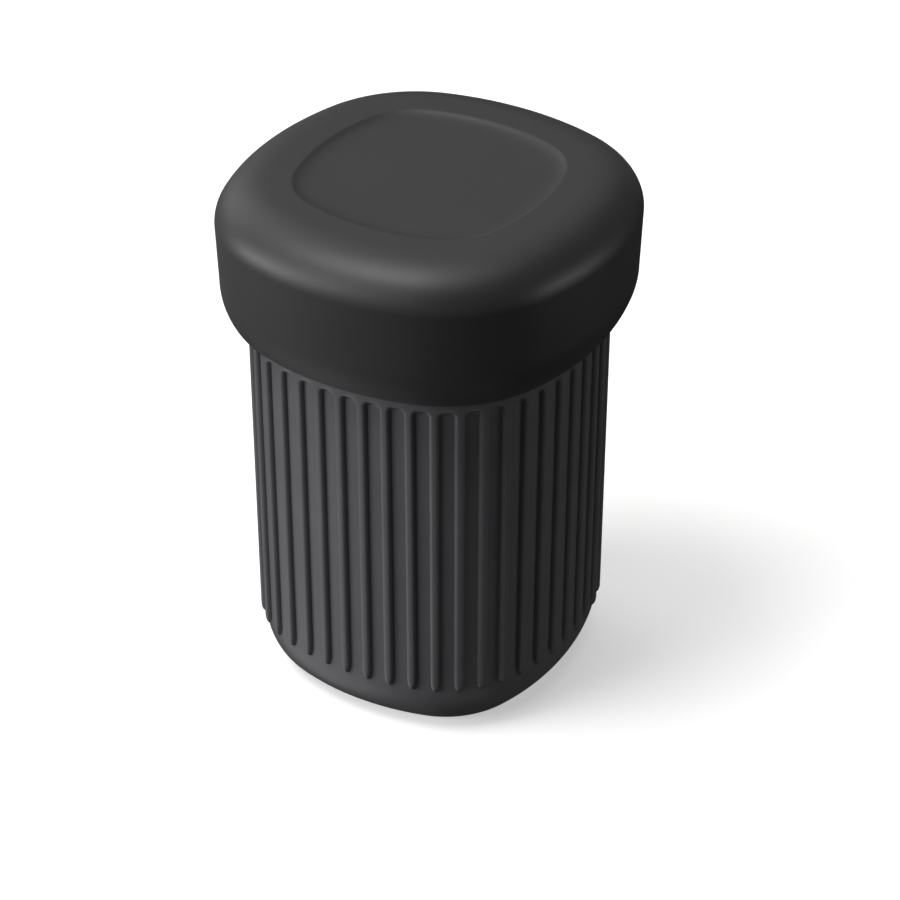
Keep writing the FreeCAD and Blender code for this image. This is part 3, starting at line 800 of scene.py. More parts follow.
@dataclass
class Mug:
    """The ribbed mug that everything is packed in. Sizes in mm.

    Attributes:
        base_half: Half width over the ribs, where the base curve starts.
        band_half: Half width of the smooth band, at its top.
        band_top: Height of the band's top edge.
        band_depth: Height of the band.
        neck_half: Half width of the rim above the band.
        wall: Thickness, behind a groove.
        side_round: Radius of the base curve's upper arc.
        foot_round: Radius of its lower arc.
        turn: Angle of the upper arc, in degrees.
        foot_width: Width of the flat ring that the mug stands on.
        foot_recess: Depth of the hollow inside that ring.
        ribs_per_side: Number of ribs to each side.
        rib_width: Width of a rib.
        rib_height: How far a rib stands proud.
        rib_round: Width of the rounding along a rib's edges.
        rib_foot: Height of the ribs' lower ends.
        rib_end: Length over which a rib tapers to its end.
        groove_round: Radius of the grooves' upper corners.
    """

    base_half: float = 41.2
    band_half: float = 42.3
    band_top: float = 102.0
    band_depth: float = 6.0
    neck_half: float = 41.4
    wall: float = 2.2
    side_round: float = 19.2
    foot_round: float = 6.0
    turn: float = 40.0
    foot_width: float = 4.5
    foot_recess: float = 0.8
    ribs_per_side: int = 11
    rib_width: float = 2.6
    rib_height: float = 1.25
    rib_round: float = 0.95
    rib_foot: float = 13.0
    rib_end: float = 3.6
    groove_round: float = 1.2
    rim: float = field(init=False)

    def __post_init__(self) -> None:
        """Takes the rim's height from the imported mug."""
        self.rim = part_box("mug")[1].z / MM

    @property
    def base_top(self) -> float:
        """Height where the base curve meets the straight side."""
        turn = math.radians(self.turn)
        return self.side_round * math.sin(turn) + self.foot_round * (1 - math.sin(turn))

    @property
    def pitch(self) -> float:
        """Distance from rib to rib, half way up."""
        side, corner = SECTION.eighth(self.over_ribs((self.base_top + self.band_top) / 2))
        return 2 * (side + corner) / self.ribs_per_side

    def over_ribs(self, height: float) -> float:
        """Half width over the ribs at a height."""
        share = (height - self.base_top) / (self.band_top - self.base_top)
        return self.base_half + (self.band_half - self.base_half) * share

    def stations(self) -> list[Station]:
        """Stations that crowd at each rib's two edges."""
        edge = self.rib_width / 2
        shares = (1.0, 0.72, 0.47, 0.27, 0.12, 0.03, 0.0)
        near = [0.0] + [edge - self.rib_round * share for share in shares] + [edge + 0.35]
        offsets = [-step for step in reversed(near[1:])] + near + [self.pitch / 2]
        middle = self.over_ribs((self.base_top + self.band_top) / 2)
        made = []
        for rib in range(4 * self.ribs_per_side):
            for offset in offsets:
                made.append(SECTION.station(rib * self.pitch + offset, middle, abs(offset)))
        return made

    def outside(self) -> list[Knot]:
        """The profile from under the foot to the band's top, behind the ribs."""
        square = Round.SQUARE
        foot = self.base_half - self.rib_height - self.base_inset
        hollow = foot - self.foot_width
        upper = (self.base_half - self.rib_height - self.side_round, self.base_top)
        knots = [Knot(0, self.foot_recess), Knot(4, self.foot_recess, 0, square)]
        knots.append(Knot(SECTION.smallest, self.foot_recess, 0, square))
        knots += [Knot(hollow, self.foot_recess, 0.3, square), Knot(hollow, 0, 0.3, square)]
        knots.append(Knot(foot, 0, 0, square))
        knots = soften(knots, steps=3)
        knots += arc((foot, self.foot_round), self.foot_round, -90, -self.turn, 8, square)[1:]
        upper_arc = arc(upper, self.side_round, -self.turn, 0, 34, square)[1:]
        knots += upper_arc
        heights = self.rows(upper_arc[-1].up)
        knots += [Knot(self.over_ribs(height) - self.rib_height, height, 0, square) for height in heights]
        return knots

    @property
    def base_inset(self) -> float:
        """How far the base curve comes in, from the straight side to the foot."""
        turn = math.radians(self.turn)
        return self.side_round * (1 - math.cos(turn)) + self.foot_round * math.cos(turn)

    def rows(self, start: float) -> list[float]:
        """Heights of the rings on the straight side, close together where ribs and grooves end."""
        top = self.band_top - self.band_depth
        heights = [start + step * 0.2 for step in range(1, 10)]
        long_start, long_end = heights[-1], top - self.groove_round - 0.6
        heights += [long_start + (long_end - long_start) * step / 5 for step in range(1, 6)]
        heights += [long_end + (top + 0.5 - long_end) * step / 14 for step in range(1, 15)]
        heights += [top + 1.5, self.band_top - 0.6, self.band_top - 0.15]
        return heights

    def inside(self) -> list[Knot]:
        """The profile from the band over the rim and down to the floor's middle."""
        square = Round.SQUARE
        inner_base = self.base_half - self.rib_height - self.wall
        inner_rim = self.over_ribs(self.rim) - self.rib_height - self.wall
        foot = self.base_half - self.rib_height - self.base_inset
        upper = (self.base_half - self.rib_height - self.side_round, self.base_top)
        step_top = self.band_top + self.band_half - self.neck_half
        knots = [Knot(self.neck_half, step_top, 0, square), Knot(self.neck_half, step_top + 0.4, 0, square)]
        knots += [Knot(self.neck_half, self.rim, 1.0, square), Knot(inner_rim, self.rim, 1.0, square)]
        knots += [Knot(inner_base + 0.02, self.base_top + 1, 0, square)]
        knots = soften(knots, steps=5)
        knots += arc(upper, self.side_round - self.wall, 0, -self.turn, 8, square)
        knots += arc((foot, self.foot_round), self.foot_round - self.wall, -self.turn, -90, 6, square)[1:]
        knots += [Knot(foot - 1, self.wall, 0, square), Knot(SECTION.smallest, self.wall, 0, square)]
        knots += [Knot(4, self.wall, 0, square), Knot(0, self.wall)]
        return knots

    def relief_tree(self, numbers: dict[str, float]) -> bpy.types.NodeTree:
        """The tree that raises the ribs and the band from the smooth wall.

        Each point moves outwards by the rib's height, where it lies on a rib or on the band. A rib ends
        below in half an oval, and the grooves between ribs end above in rounded corners.

        Args:
            numbers: The named inputs.

        Returns:
            The tree.
        """
        tree, source, output = geometry_tree("raise_ribs", numbers)
        given = source.outputs
        kind = "GeometryNodeInputNamedAttribute"
        from_rib = add_node(tree, kind, {"Name": "from_rib"}).outputs["Attribute"]
        room = add_node(tree, kind, {"Name": "room"}).outputs["Attribute"]
        out = add_node(tree, kind, {"Name": "out"}, data_type="FLOAT_VECTOR").outputs["Attribute"]
        place = add_node(tree, "GeometryNodeInputPosition").outputs["Position"]
        height = add_node(tree, "ShaderNodeSeparateXYZ", {"Vector": place}).outputs["Z"]
        edge = maths(tree, "MULTIPLY", given["Rib Width"], 0.5)
        # Below: distance to a rib that ends in half an oval, measured with its length shrunk to the width.
        tip = maths(tree, "ADD", given["Rib Foot"], given["Rib End"])
        below = maths(tree, "MAXIMUM", maths(tree, "SUBTRACT", tip, height), 0.0)
        below = maths(tree, "MULTIPLY", below, maths(tree, "DIVIDE", edge, given["Rib End"]))
        low = maths(tree, "SUBTRACT", flat_length(tree, from_rib, below), edge)
        # Above: distance to a groove whose two upper corners are rounded.
        half_pitch = maths(tree, "MULTIPLY", given["Pitch"], 0.5)
        from_groove = maths(tree, "SUBTRACT", half_pitch, from_rib)
        groove_edge = maths(tree, "SUBTRACT", half_pitch, edge)
        inset = maths(tree, "SUBTRACT", groove_edge, given["Groove Round"])
        across = maths(tree, "SUBTRACT", from_groove, inset)
        lowered = maths(tree, "SUBTRACT", given["Groove Top"], given["Groove Round"])
        upward = maths(tree, "SUBTRACT", height, lowered)
        across_out = maths(tree, "MAXIMUM", across, 0.0)
        upward_out = maths(tree, "MAXIMUM", upward, 0.0)
        deepest = maths(tree, "MINIMUM", maths(tree, "MAXIMUM", across, upward), 0.0)
        high = maths(tree, "ADD", flat_length(tree, across_out, upward_out), deepest)
        high = maths(tree, "SUBTRACT", given["Groove Round"], high)
        # Away from both ends the two distances agree; a groove is where both are positive.
        is_high = maths(tree, "GREATER_THAN", height, given["Half Way"])
        inputs = {0: is_high, 2: low, 3: high}
        distance = add_node(tree, "ShaderNodeMix", inputs, data_type="FLOAT").outputs[0]
        # A rib's edge is a quarter of an oval: upright at the groove's floor, level at the rib's top.
        short = remap(tree, distance, {"From Min": given["Edge Round"], "From Max": 0.0})
        rest = maths(tree, "SUBTRACT", 1.0, maths(tree, "MULTIPLY", short, short))
        raised = maths(tree, "MULTIPLY", maths(tree, "POWER", rest, 0.5), room)
        raised = maths(tree, "MULTIPLY", raised, given["Rib Height"])
        shift = add_node(
            tree, "ShaderNodeVectorMath", {0: out, "Scale": raised}, operation="SCALE",
        ).outputs["Vector"]
        moved = add_node(
            tree, "GeometryNodeSetPosition", {"Geometry": source.outputs["Geometry"], "Offset": shift},
        ).outputs["Geometry"]
        finish_tree(tree, moved, source, output)
        return tree

    def build(self) -> bpy.types.Object:
        """Makes the mug and puts it in place.

        Returns:
            The mug's object.
        """
        outside, inside = self.outside(), self.inside()
        stations = self.stations()
        thing = skin("mug_ribbed", outside + inside, stations)
        room, from_rib, out = [0.0], [0.0], [(0.0, 0.0, 0.0)]
        for wall in [1.0] * (len(outside) - 1) + [0.0] * (len(inside) - 1):
            for station in stations:
                room.append(wall)
                from_rib.append(station.from_rib * MM)
                out.append((station.out[0], station.out[1], 0.0))
        room, from_rib, out = room + [0.0], from_rib + [0.0], out + [(0.0, 0.0, 0.0)]
        mesh = thing.data
        log.info("the mug's skin: %d rings of %d", len(outside) + len(inside), len(stations))
        mesh.attributes.new("room", "FLOAT", "POINT").data.foreach_set("value", room)
        mesh.attributes.new("from_rib", "FLOAT", "POINT").data.foreach_set("value", from_rib)
        flat = [part for way in out for part in way]
        mesh.attributes.new("out", "FLOAT_VECTOR", "POINT").data.foreach_set("vector", flat)
        numbers = {
            "Rib Width": self.rib_width * MM,
            "Rib Height": self.rib_height * MM,
            "Rib Foot": self.rib_foot * MM,
            "Rib End": self.rib_end * MM,
            "Pitch": self.pitch * MM,
            "Groove Top": (self.band_top - self.band_depth) * MM,
            "Groove Round": self.groove_round * MM,
            "Half Way": self.band_top / 2 * MM,
            "Edge Round": -self.rib_round * MM,
        }
        material = MUG_PLASTIC.material()
        run_tree(thing, self.relief_tree(numbers), numbers, material)
        for name in ("room", "from_rib", "out"):
            thing.data.attributes.remove(thing.data.attributes[name])
        smooth_faces(thing.data, 50)
        place_piece(thing, "mug", "mug", material)
        return thing


# ---------------------------------------------------------------------------------------------------
# The lid
# ---------------------------------------------------------------------------------------------------


@dataclass
class Lid:
    """The soft lid: a crowned cap with a shallow dish in its top and a lip that hugs the mug. Sizes in mm.

    Attributes:
        low_half: Half width at the foot of the side.
        high_half: Half width at the top of the side.
        wall: Thickness.
        lip_half: Half width outside the lip's lower edge.
        lip_height: Height of the curve from the lip to the side.
        crown_across: Width of the crown's curve.
        crown_up: Height of the crown's curve.
        dish_half: Half width of the dish's edge.
        dish_depth: Depth of the dish.
        dish_slope: Width of the curve from the dish's edge to its floor.
        ring_half: Half width inside the ring that rests on the press's flange.
        ring_thick: Thickness of that ring.
        ring_drop: From the chamber's top down to the ring's underside.
        columns: Number of places round the lid.
    """

    low_half: float = 48.9
    high_half: float = 49.6
    wall: float = 2.6
    lip_half: float = 45.2
    lip_height: float = 11.0
    crown_across: float = 12.98
    crown_up: float = 10.61
    dish_half: float = 30.6
    dish_depth: float = 1.1
    dish_slope: float = 5.0
    ring_half: float = 38.3
    ring_thick: float = 2.0
    ring_drop: float = 6.2
    columns: int = 256

    def dish(self, top: float) -> list[Knot]:
        """The dish, from its crisp edge to the middle."""
        square = Round.SQUARE
        floor = top - self.dish_depth
        knots = []
        steps = 12
        for step in range(1, steps + 1):
            share = 1 - step / steps
            out = self.dish_half - 0.2 - self.dish_slope * (1 - share)
            knots.append(Knot(out, floor + (self.dish_depth - 0.12) * share ** 3.2, 0, square))
        inner = knots[-1].out
        knots += [Knot(inner - 1, floor, 0, square), Knot(SECTION.smallest, floor, 0, square)]
        knots += [Knot(8, floor, 0, square), Knot(2, floor, 0, square), Knot(0, floor)]
        return knots

    def profile(self, bottom: float, top: float, ring_bottom: float) -> list[Knot]:
        """The whole profile, from the middle of the ceiling round the lip to the middle of the dish.

        Args:
            bottom: Height of the lip's lower edge.
            top: Height of the crown.
            ring_bottom: Height of the resting ring's underside.

        Returns:
            The knots.
        """
        square = Round.SQUARE
        ceiling = top - self.dish_depth - self.wall
        side_top = top - self.crown_up
        crown_half = self.high_half - self.crown_across
        lip_top = bottom + self.lip_height
        inner_low, inner_high = self.low_half - self.wall, self.high_half - self.wall
        inset = self.low_half - self.lip_half
        curve = (self.lip_height ** 2 + inset ** 2) / (2 * inset)
        lip_angle = math.degrees(math.asin(self.lip_height / curve))
        centre = (self.low_half - curve, lip_top)
        knots = [Knot(0, ceiling), Knot(4, ceiling, 0, square), Knot(SECTION.smallest, ceiling, 0, square)]
        knots += [Knot(crown_half - self.dish_depth, ceiling, 0.8, square)]
        knots += [Knot(crown_half, top - self.wall, 0.8, square)]
        knots += self.crown(crown_half, side_top, self.wall, 12)[1:]
        knots += [Knot(inner_high - 0.35, ring_bottom + self.ring_thick, 0.8, square)]
        knots += [Knot(self.ring_half, ring_bottom + self.ring_thick, 0.6, square)]
        knots += [Knot(self.ring_half, ring_bottom, 0.6, square)]
        knots += [Knot(inner_low + 0.2, ring_bottom, 0.8, square)]
        knots += arc(centre, curve - self.wall, 0, -lip_angle * 0.98, 8, square)
        knots += [Knot(self.lip_half - self.wall, bottom, 0.7, square)]
        knots += [Knot(self.lip_half, bottom, 0.9, square)]
        knots += arc(centre, curve, -lip_angle * 0.9, 0, 12, square)
        knots += [Knot(self.high_half, side_top, 0, square)]
        knots += list(reversed(self.crown(crown_half, side_top, 0, 24)))[1:]
        knots += [Knot(crown_half - 1, top, 0, square), Knot(self.dish_half + 0.6, top, 0, square)]
        knots += [Knot(self.dish_half + 0.1, top, 0, square), Knot(self.dish_half, top - 0.03, 0, square)]
        knots += self.dish(top)
        return soften(knots, steps=4)

    def crown(self, crown_half: float, side_top: float, inside: float, steps: int) -> list[Knot]:
        """The crown's quarter ellipse, from the flat top down to the side.

        Args:
            crown_half: Half width where the flat top starts.
            side_top: Height where the side starts.
            inside: How far inside the outer surface, in mm.
            steps: Number of chords.

        Returns:
            The knots.
        """
        knots = []
        for step in range(steps + 1):
            angle = math.pi / 2 * (1 - step / steps)
            out = crown_half + (self.crown_across - inside) * math.cos(angle)
            up = side_top + (self.crown_up - inside) * math.sin(angle)
            knots.append(Knot(out, up, 0, Round.SQUARE))
        return knots

    def build(self) -> bpy.types.Object:
        """Makes the lid and puts it in place.

        Returns:
            The lid's object.
        """
        low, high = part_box("lid")
        ring_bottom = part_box("chamber")[1].z / MM - self.ring_drop
        knots = self.profile(low.z / MM, high.z / MM, ring_bottom)
        thing = skin("lid_soft", knots, SECTION.even_stations(self.low_half, self.columns))
        place_piece(thing, "lid", "lid", LID_SILICONE.material())
        return thing


# ---------------------------------------------------------------------------------------------------
# The coffee press, upside down in the mug
# ---------------------------------------------------------------------------------------------------


def circle_stations(count: int) -> list[Station]:
    """Stations at equal angles round a circle."""
    angles = [2 * math.pi * number / count for number in range(count)]
    return [Station((0.0, 0.0), (math.cos(angle), math.sin(angle)), 0.0) for angle in angles]


@dataclass
class Chamber:
    """The clear tube that the coffee is pressed in: its flange, its neck and four lugs. Sizes in mm.

    Attributes:
        bore: Radius inside.
        wall: Thickness of the tube.
        flange_half: Half width of the flange that rests on the mug's rim.
        flange_thick: Thickness of the flange.
        neck: Height of the neck over the flange.
        lug_reach: How far the lugs stand out.
        lug_thick: Height of a lug.
        lug_rise: From the flange to the lugs.
        lugs: Where the lugs are.
        level_step: Height between the plain level lines moulded on the tube.
        level_proud: How far they stand out.
        levels: Where the level lines are.
        columns: Number of places round the tube.
    """

    bore: float = 30.3
    wall: float = 2.7
    flange_half: float = 41.4
    flange_thick: float = 2.4
    neck: float = 6.4
    lug_reach: float = 1.8
    lug_thick: float = 2.2
    lug_rise: float = 2.4
    lugs: Sector = Sector(4, 30.0)
    level_step: float = 19.0
    level_proud: float = 0.3
    levels: Sector = Sector(1, 50.0, 290.0)
    columns: int = 320

    def tube_foot(self, low: float, outer: float) -> list[Knot]:
        """The tube's outside from its foot up, with its level lines."""
        knots = [Knot(self.bore, low, 0.5), Knot(outer, low, 0.9)]
        for number in range(1, 5):
            middle = low + number * self.level_step
            for up, share in ((-0.7, 0), (-0.45, 0), (-0.25, 1), (0.25, 1), (0.45, 0), (0.7, 0)):
                knots.append(Knot(outer, middle + up, 0, Round.CIRCLE, share * self.level_proud, self.levels))
        return knots

    def build(self, material: bpy.types.Material) -> None:
        """Makes the chamber and puts it in place."""
        low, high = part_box("chamber")[0].z / MM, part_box("chamber")[1].z / MM
        outer = self.bore + self.wall
        flange_top = high - self.neck
        flange_low = flange_top - self.flange_thick
        lug_low, lug_high = flange_top + self.lug_rise, flange_top + self.lug_rise + self.lug_thick
        knots = self.tube_foot(low, outer)
        knots += [Knot(outer, flange_low, 0.8), Knot(self.flange_half, flange_low, 0.6, Round.SQUARE)]
        knots += [Knot(self.flange_half, flange_top, 0.8, Round.SQUARE), Knot(outer, flange_top, 0.8)]
        lug_outline = (
            (lug_low - 0.2, 0.0), (lug_low, 0.0), (lug_low + 0.15, self.lug_reach),
            (lug_high - 0.3, self.lug_reach), (lug_high - 0.05, self.lug_reach - 0.3), (lug_high, 0.0),
            (lug_high + 0.2, 0.0),
        )
        for up, proud in lug_outline:
            knots.append(Knot(outer, up, 0, Round.CIRCLE, proud, self.lugs))
        knots += [Knot(outer, high, 0.7), Knot(self.bore, high, 0.7)]
        stations = SECTION.even_stations(self.flange_half, self.columns)
        thing = skin("press_chamber", soften(knots, closed=True), stations, closed=True)
        smooth_faces(thing.data)
        place_piece(thing, "chamber", "chamber", material)


@dataclass
class Plunger:
    """The clear tube that slides in the chamber, and the rubber seal on its end. Sizes in mm.

    Attributes:
        radius: Radius of the tube.
        wall: Its thickness.
        flange: Radius of the flange that a palm pushes.
        flange_thick: Thickness of the flange.
        end: Thickness of the closed end.
        stem: Radius of the stem that carries the seal.
        stem_height: Its height.
        head: Radius of the head that holds the seal on.
        head_height: Its height.
        seal: Radius of the seal.
        waist: Depth of the groove between the seal's two lips.
        lip: Height of a lip.
        fit: Gap drawn between the rubber and the plastic that it is stretched over.
        columns: Number of places round.
    """

    radius: float = 27.5
    wall: float = 2.2
    flange: float = 33.5
    flange_thick: float = 3.0
    end: float = 2.5
    stem: float = 17.0
    stem_height: float = 3.0
    head: float = 20.0
    head_height: float = 2.5
    seal: float = 30.22
    waist: float = 1.6
    lip: float = 2.2
    fit: float = 0.03
    columns: int = 192

    def build_tube(self, material: bpy.types.Material) -> None:
        """Makes the plunger's tube and puts it in place."""
        low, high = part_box("plunger_tube")[0].z / MM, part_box("plunger_tube")[1].z / MM
        inner = self.radius - self.wall
        stem_top = high - self.head_height
        shoulder = stem_top - self.stem_height
        ceiling = shoulder - self.end
        flange_top = low + self.flange_thick
        knots = [
            Knot(0, ceiling), Knot(inner, ceiling, 2.0), Knot(inner, low, 0.6), Knot(self.flange, low, 0.8),
            Knot(self.flange, flange_top, 0.8), Knot(self.radius, flange_top, 1.2),
            Knot(self.radius, shoulder, 0.8), Knot(self.stem, shoulder, 0.5), Knot(self.stem, stem_top, 0.4),
            Knot(self.head, stem_top, 0.5), Knot(self.head, high, 0.8), Knot(0, high),
        ]
        thing = skin("press_plunger", soften(knots), circle_stations(self.columns))
        smooth_faces(thing.data)
        place_piece(thing, "plunger", "plunger_tube", material)

    def build_seal(self, material: bpy.types.Material) -> None:
        """Makes the seal and puts it in place."""
        low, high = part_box("plunger_seal")[0].z / MM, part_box("plunger_seal")[1].z / MM
        under, over = low + self.stem_height, low + self.stem_height + self.head_height
        stem, head, slim = self.stem + self.fit, self.head + self.fit, self.seal - self.waist
        knots = [
            Knot(0, over + self.fit), Knot(head, over + self.fit, 0.6), Knot(head, under - self.fit, 0.4),
            Knot(stem, under - self.fit, 0.4), Knot(stem, low + self.fit, 0.3),
            Knot(self.seal, low + self.fit, 0.5), Knot(self.seal, low + self.lip, 0.7),
            Knot(slim, low + self.lip + self.waist, 0.9), Knot(slim, high - self.lip - self.waist, 0.9),
            Knot(self.seal, high - self.lip, 0.7), Knot(self.seal, high - 1.0, 0.4),
            Knot(self.seal - 1.0, high, 0.8), Knot(self.head, high - 0.02, 0),
            Knot(self.head - 0.8, high - 0.5, 0.5), Knot(0, high - 0.5),
        ]
        thing = skin("press_seal", soften(knots), circle_stations(self.columns))
        smooth_faces(thing.data)
        place_piece(thing, "plunger", "plunger_seal", material)


@dataclass
class FilterCap:
    """The perforated cap that holds a filter paper on the chamber. Sizes in mm.

    Attributes:
        radius: Radius outside.
        inner: Radius inside, round the chamber's lugs.
        plate: Thickness of the perforated plate.
        lug_reach: How far its own lugs stand in.
        lug_low: From its foot to its lugs.
        lug_thick: Height of its lugs.
        lugs: Where they are.
        hole: Radius of a hole.
        hole_pitch: Distance from ring to ring of holes.
        hole_rings: Number of rings round the middle hole.
        scallop: Radius of a finger scallop.
        scallop_depth: Its depth in the wall.
        scallops: Number of scallops.
        columns: Number of places round.
    """

    radius: float = 37.1
    inner: float = 35.2
    plate: float = 2.7
    lug_reach: float = 1.8
    lug_low: float = 0.3
    lug_thick: float = 1.3
    lugs: Sector = Sector(4, 30.0)
    hole: float = 1.1
    hole_pitch: float = 5.6
    hole_rings: int = 4
    scallop: float = 1.5
    scallop_depth: float = 0.8
    scallops: int = 24
    columns: int = 240

    def shell(self, low: float, high: float) -> bpy.types.Object:
        """The cap before its holes and scallops."""
        ceiling = high - self.plate
        lug_low, lug_high = low + self.lug_low, low + self.lug_low + self.lug_thick
        knots = [Knot(0, ceiling), Knot(self.inner, ceiling, 0.6)]
        for up, proud in ((lug_high + 0.1, 0.0), (lug_high, -self.lug_reach), (lug_low, -self.lug_reach),
                          (lug_low - 0.1, 0.0)):
            knots.append(Knot(self.inner, up, 0, Round.CIRCLE, proud, self.lugs))
        knots += [Knot(self.inner, low, 0.3), Knot(self.radius, low, 0.5), Knot(self.radius, high, 1.1)]
        knots += [Knot(self.hole_pitch * (self.hole_rings + 0.5), high), Knot(0, high)]
        return skin("press_filter_cap", soften(knots), circle_stations(self.columns))

    def pierce_tree(self, numbers: dict[str, float]) -> bpy.types.NodeTree:
        """The tree that cuts rings of holes through the plate and scallops in the wall.

        Args:
            numbers: The named inputs.

        Returns:
            The tree.
        """
        tree, source, output = geometry_tree("pierce_cap", numbers)
        height = source.outputs["Height"]
        lift = add_node(tree, "ShaderNodeCombineXYZ", {"Z": height}).outputs["Vector"]
        spots = [add_node(tree, "GeometryNodeMeshLine", {"Count": 1}).outputs["Mesh"]]
        for ring in range(1, self.hole_rings + 1):
            reach = maths(tree, "MULTIPLY", source.outputs["Hole Pitch"], float(ring))
            spots.append(add_node(
                tree, "GeometryNodeMeshCircle", {"Vertices": 6 * ring, "Radius": reach},
            ).outputs["Mesh"])
        holes = self.bars(tree, spots, source.outputs["Hole"], lift, source.outputs["Hole Depth"], 20)
        round_spots = [add_node(
            tree, "GeometryNodeMeshCircle",
            {"Vertices": source.outputs["Scallops"], "Radius": source.outputs["Scallop Reach"]},
        ).outputs["Mesh"]]
        grips = self.bars(
            tree, round_spots, source.outputs["Scallop"], lift, source.outputs["Scallop Depth"], 32,
        )
        pierced = source.outputs["Geometry"]
        for cutter in (holes, grips):
            node = add_node(tree, "GeometryNodeMeshBoolean", {"Mesh 1": pierced}, operation="DIFFERENCE")
            node.solver = "EXACT"
            tree.links.new(cutter, node.inputs["Mesh 2"])
            pierced = node.outputs["Mesh"]
        finish_tree(tree, pierced, source, output)
        return tree

    def bars(
        self, tree: bpy.types.NodeTree, spots: list[Any], radius: Any, lift: Any, depth: Any, sides: int,
    ) -> Any:
        """Upright round bars at the points of some meshes.

        Args:
            tree: The tree.
            spots: Meshes whose points are the bars' places.
            radius: Radius of a bar.
            lift: Shift from the points to the bars' middles.
            depth: Length of a bar.
            sides: Number of its sides.

        Returns:
            The socket with the bars.
        """
        joined = add_node(tree, "GeometryNodeJoinGeometry")
        for spot in reversed(spots):
            tree.links.new(spot, joined.inputs["Geometry"])
        bar = add_node(
            tree, "GeometryNodeMeshCylinder", {"Vertices": sides, "Radius": radius, "Depth": depth},
        ).outputs["Mesh"]
        placed = add_node(
            tree, "GeometryNodeInstanceOnPoints", {"Points": joined.outputs["Geometry"], "Instance": bar},
        ).outputs["Instances"]
        raised = add_node(
            tree, "GeometryNodeTranslateInstances", {"Instances": placed, "Translation": lift},
        ).outputs["Instances"]
        return add_node(tree, "GeometryNodeRealizeInstances", {"Geometry": raised}).outputs["Geometry"]

    def build(self, material: bpy.types.Material) -> None:
        """Makes the cap and puts it in place."""
        low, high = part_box("filter_cap")[0].z / MM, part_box("filter_cap")[1].z / MM
        numbers = {
            "Height": (high + low) / 2 * MM,
            "Hole": self.hole * MM,
            "Hole Pitch": self.hole_pitch * MM,
            "Hole Depth": 2 * (high - low) * MM,
            "Scallops": float(self.scallops),
            "Scallop": self.scallop * MM,
            "Scallop Reach": (self.radius + self.scallop - self.scallop_depth) * MM,
            "Scallop Depth": 2 * (high - low) * MM,
        }
        thing = run_tree(self.shell(low, high), self.pierce_tree(numbers), numbers, material)
        smooth_faces(thing.data)
        place_piece(thing, "cap", "filter_cap", material)


@dataclass
class FilterStore:
    """The flat holder under the press, and the stack of papers in it. Sizes in mm.

    Attributes:
        radius: Radius of the holder.
        wall: Its thickness.
        corner: Radius of its lower edge.
        paper: Radius of a paper.
        paper_thick: Thickness of a paper.
        paper_step: From one paper to the next.
        papers: Number of papers.
        columns: Number of places round the holder.
    """

    radius: float = 33.6
    wall: float = 1.2
    corner: float = 2.5
    paper: float = 32.0
    paper_thick: float = 0.25
    paper_step: float = 0.3
    papers: int = 20
    columns: int = 160

    def build_holder(self, material: bpy.types.Material) -> None:
        """Makes the holder and puts it in place."""
        low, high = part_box("filter_holder")[0].z / MM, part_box("filter_holder")[1].z / MM
        inner, floor = self.radius - self.wall, low + self.wall
        knots = [
            Knot(0, low), Knot(self.radius, low, self.corner), Knot(self.radius, high, 0.5),
            Knot(inner, high, 0.5), Knot(inner, floor, 0.35), Knot(0, floor),
        ]
        thing = skin("filter_holder_tray", soften(knots, steps=6), circle_stations(self.columns))
        smooth_faces(thing.data)
        place_piece(thing, "holder", "filter_holder", material)

    def stack_tree(self, numbers: dict[str, float]) -> bpy.types.NodeTree:
        """The tree that stacks copies of one paper, each turned and shifted a little.

        Args:
            numbers: The named inputs.

        Returns:
            The tree.
        """
        tree, source, output = geometry_tree("stack_papers", numbers)
        rise = add_node(tree, "ShaderNodeCombineXYZ", {"Z": source.outputs["Step"]}).outputs["Vector"]
        line = add_node(
            tree, "GeometryNodeMeshLine", {"Count": source.outputs["Papers"], "Offset": rise},
        ).outputs["Mesh"]
        limits = {"Min": (0.0, 0.0, 0.0), "Max": (0.0, 0.0, math.tau), "Seed": 7}
        turn = add_node(tree, "FunctionNodeRandomValue", limits, data_type="FLOAT_VECTOR")
        most = add_node(
            tree, "ShaderNodeCombineXYZ", {"X": source.outputs["Stray"], "Y": source.outputs["Stray"]},
        ).outputs["Vector"]
        least = add_node(
            tree, "ShaderNodeVectorMath", {0: most, "Scale": -1.0}, operation="SCALE",
        ).outputs["Vector"]
        stray = add_node(
            tree, "FunctionNodeRandomValue", {"Min": least, "Max": most, "Seed": 11},
            data_type="FLOAT_VECTOR",
        ).outputs["Value"]
        strayed = add_node(
            tree, "GeometryNodeSetPosition", {"Geometry": line, "Offset": stray},
        ).outputs["Geometry"]
        placed = add_node(
            tree, "GeometryNodeInstanceOnPoints",
            {"Points": strayed, "Instance": source.outputs["Geometry"], "Rotation": turn.outputs["Value"]},
        ).outputs["Instances"]
        finish_tree(tree, placed, source, output)
        return tree

    def build_papers(self) -> None:
        """Makes the papers and puts them in place."""
        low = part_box("paper_filters")[0].z / MM
        paper = self.paper - 0.2
        half = self.paper_thick / 2
        knots = [
            Knot(0, low), Knot(paper * 0.5, low), Knot(paper, low), Knot(paper + 0.04, low + half),
            Knot(paper, low + self.paper_thick), Knot(paper * 0.5, low + self.paper_thick),
            Knot(0, low + self.paper_thick),
        ]
        numbers = {"Papers": float(self.papers), "Step": self.paper_step * MM, "Stray": 0.1 * MM}
        material = FILTER_PAPER.material()
        sheet = skin("filter_papers", knots, circle_stations(96))
        thing = run_tree(sheet, self.stack_tree(numbers), numbers, material)
        smooth_faces(thing.data)
        place_piece(thing, "holder", "paper_filters", material)


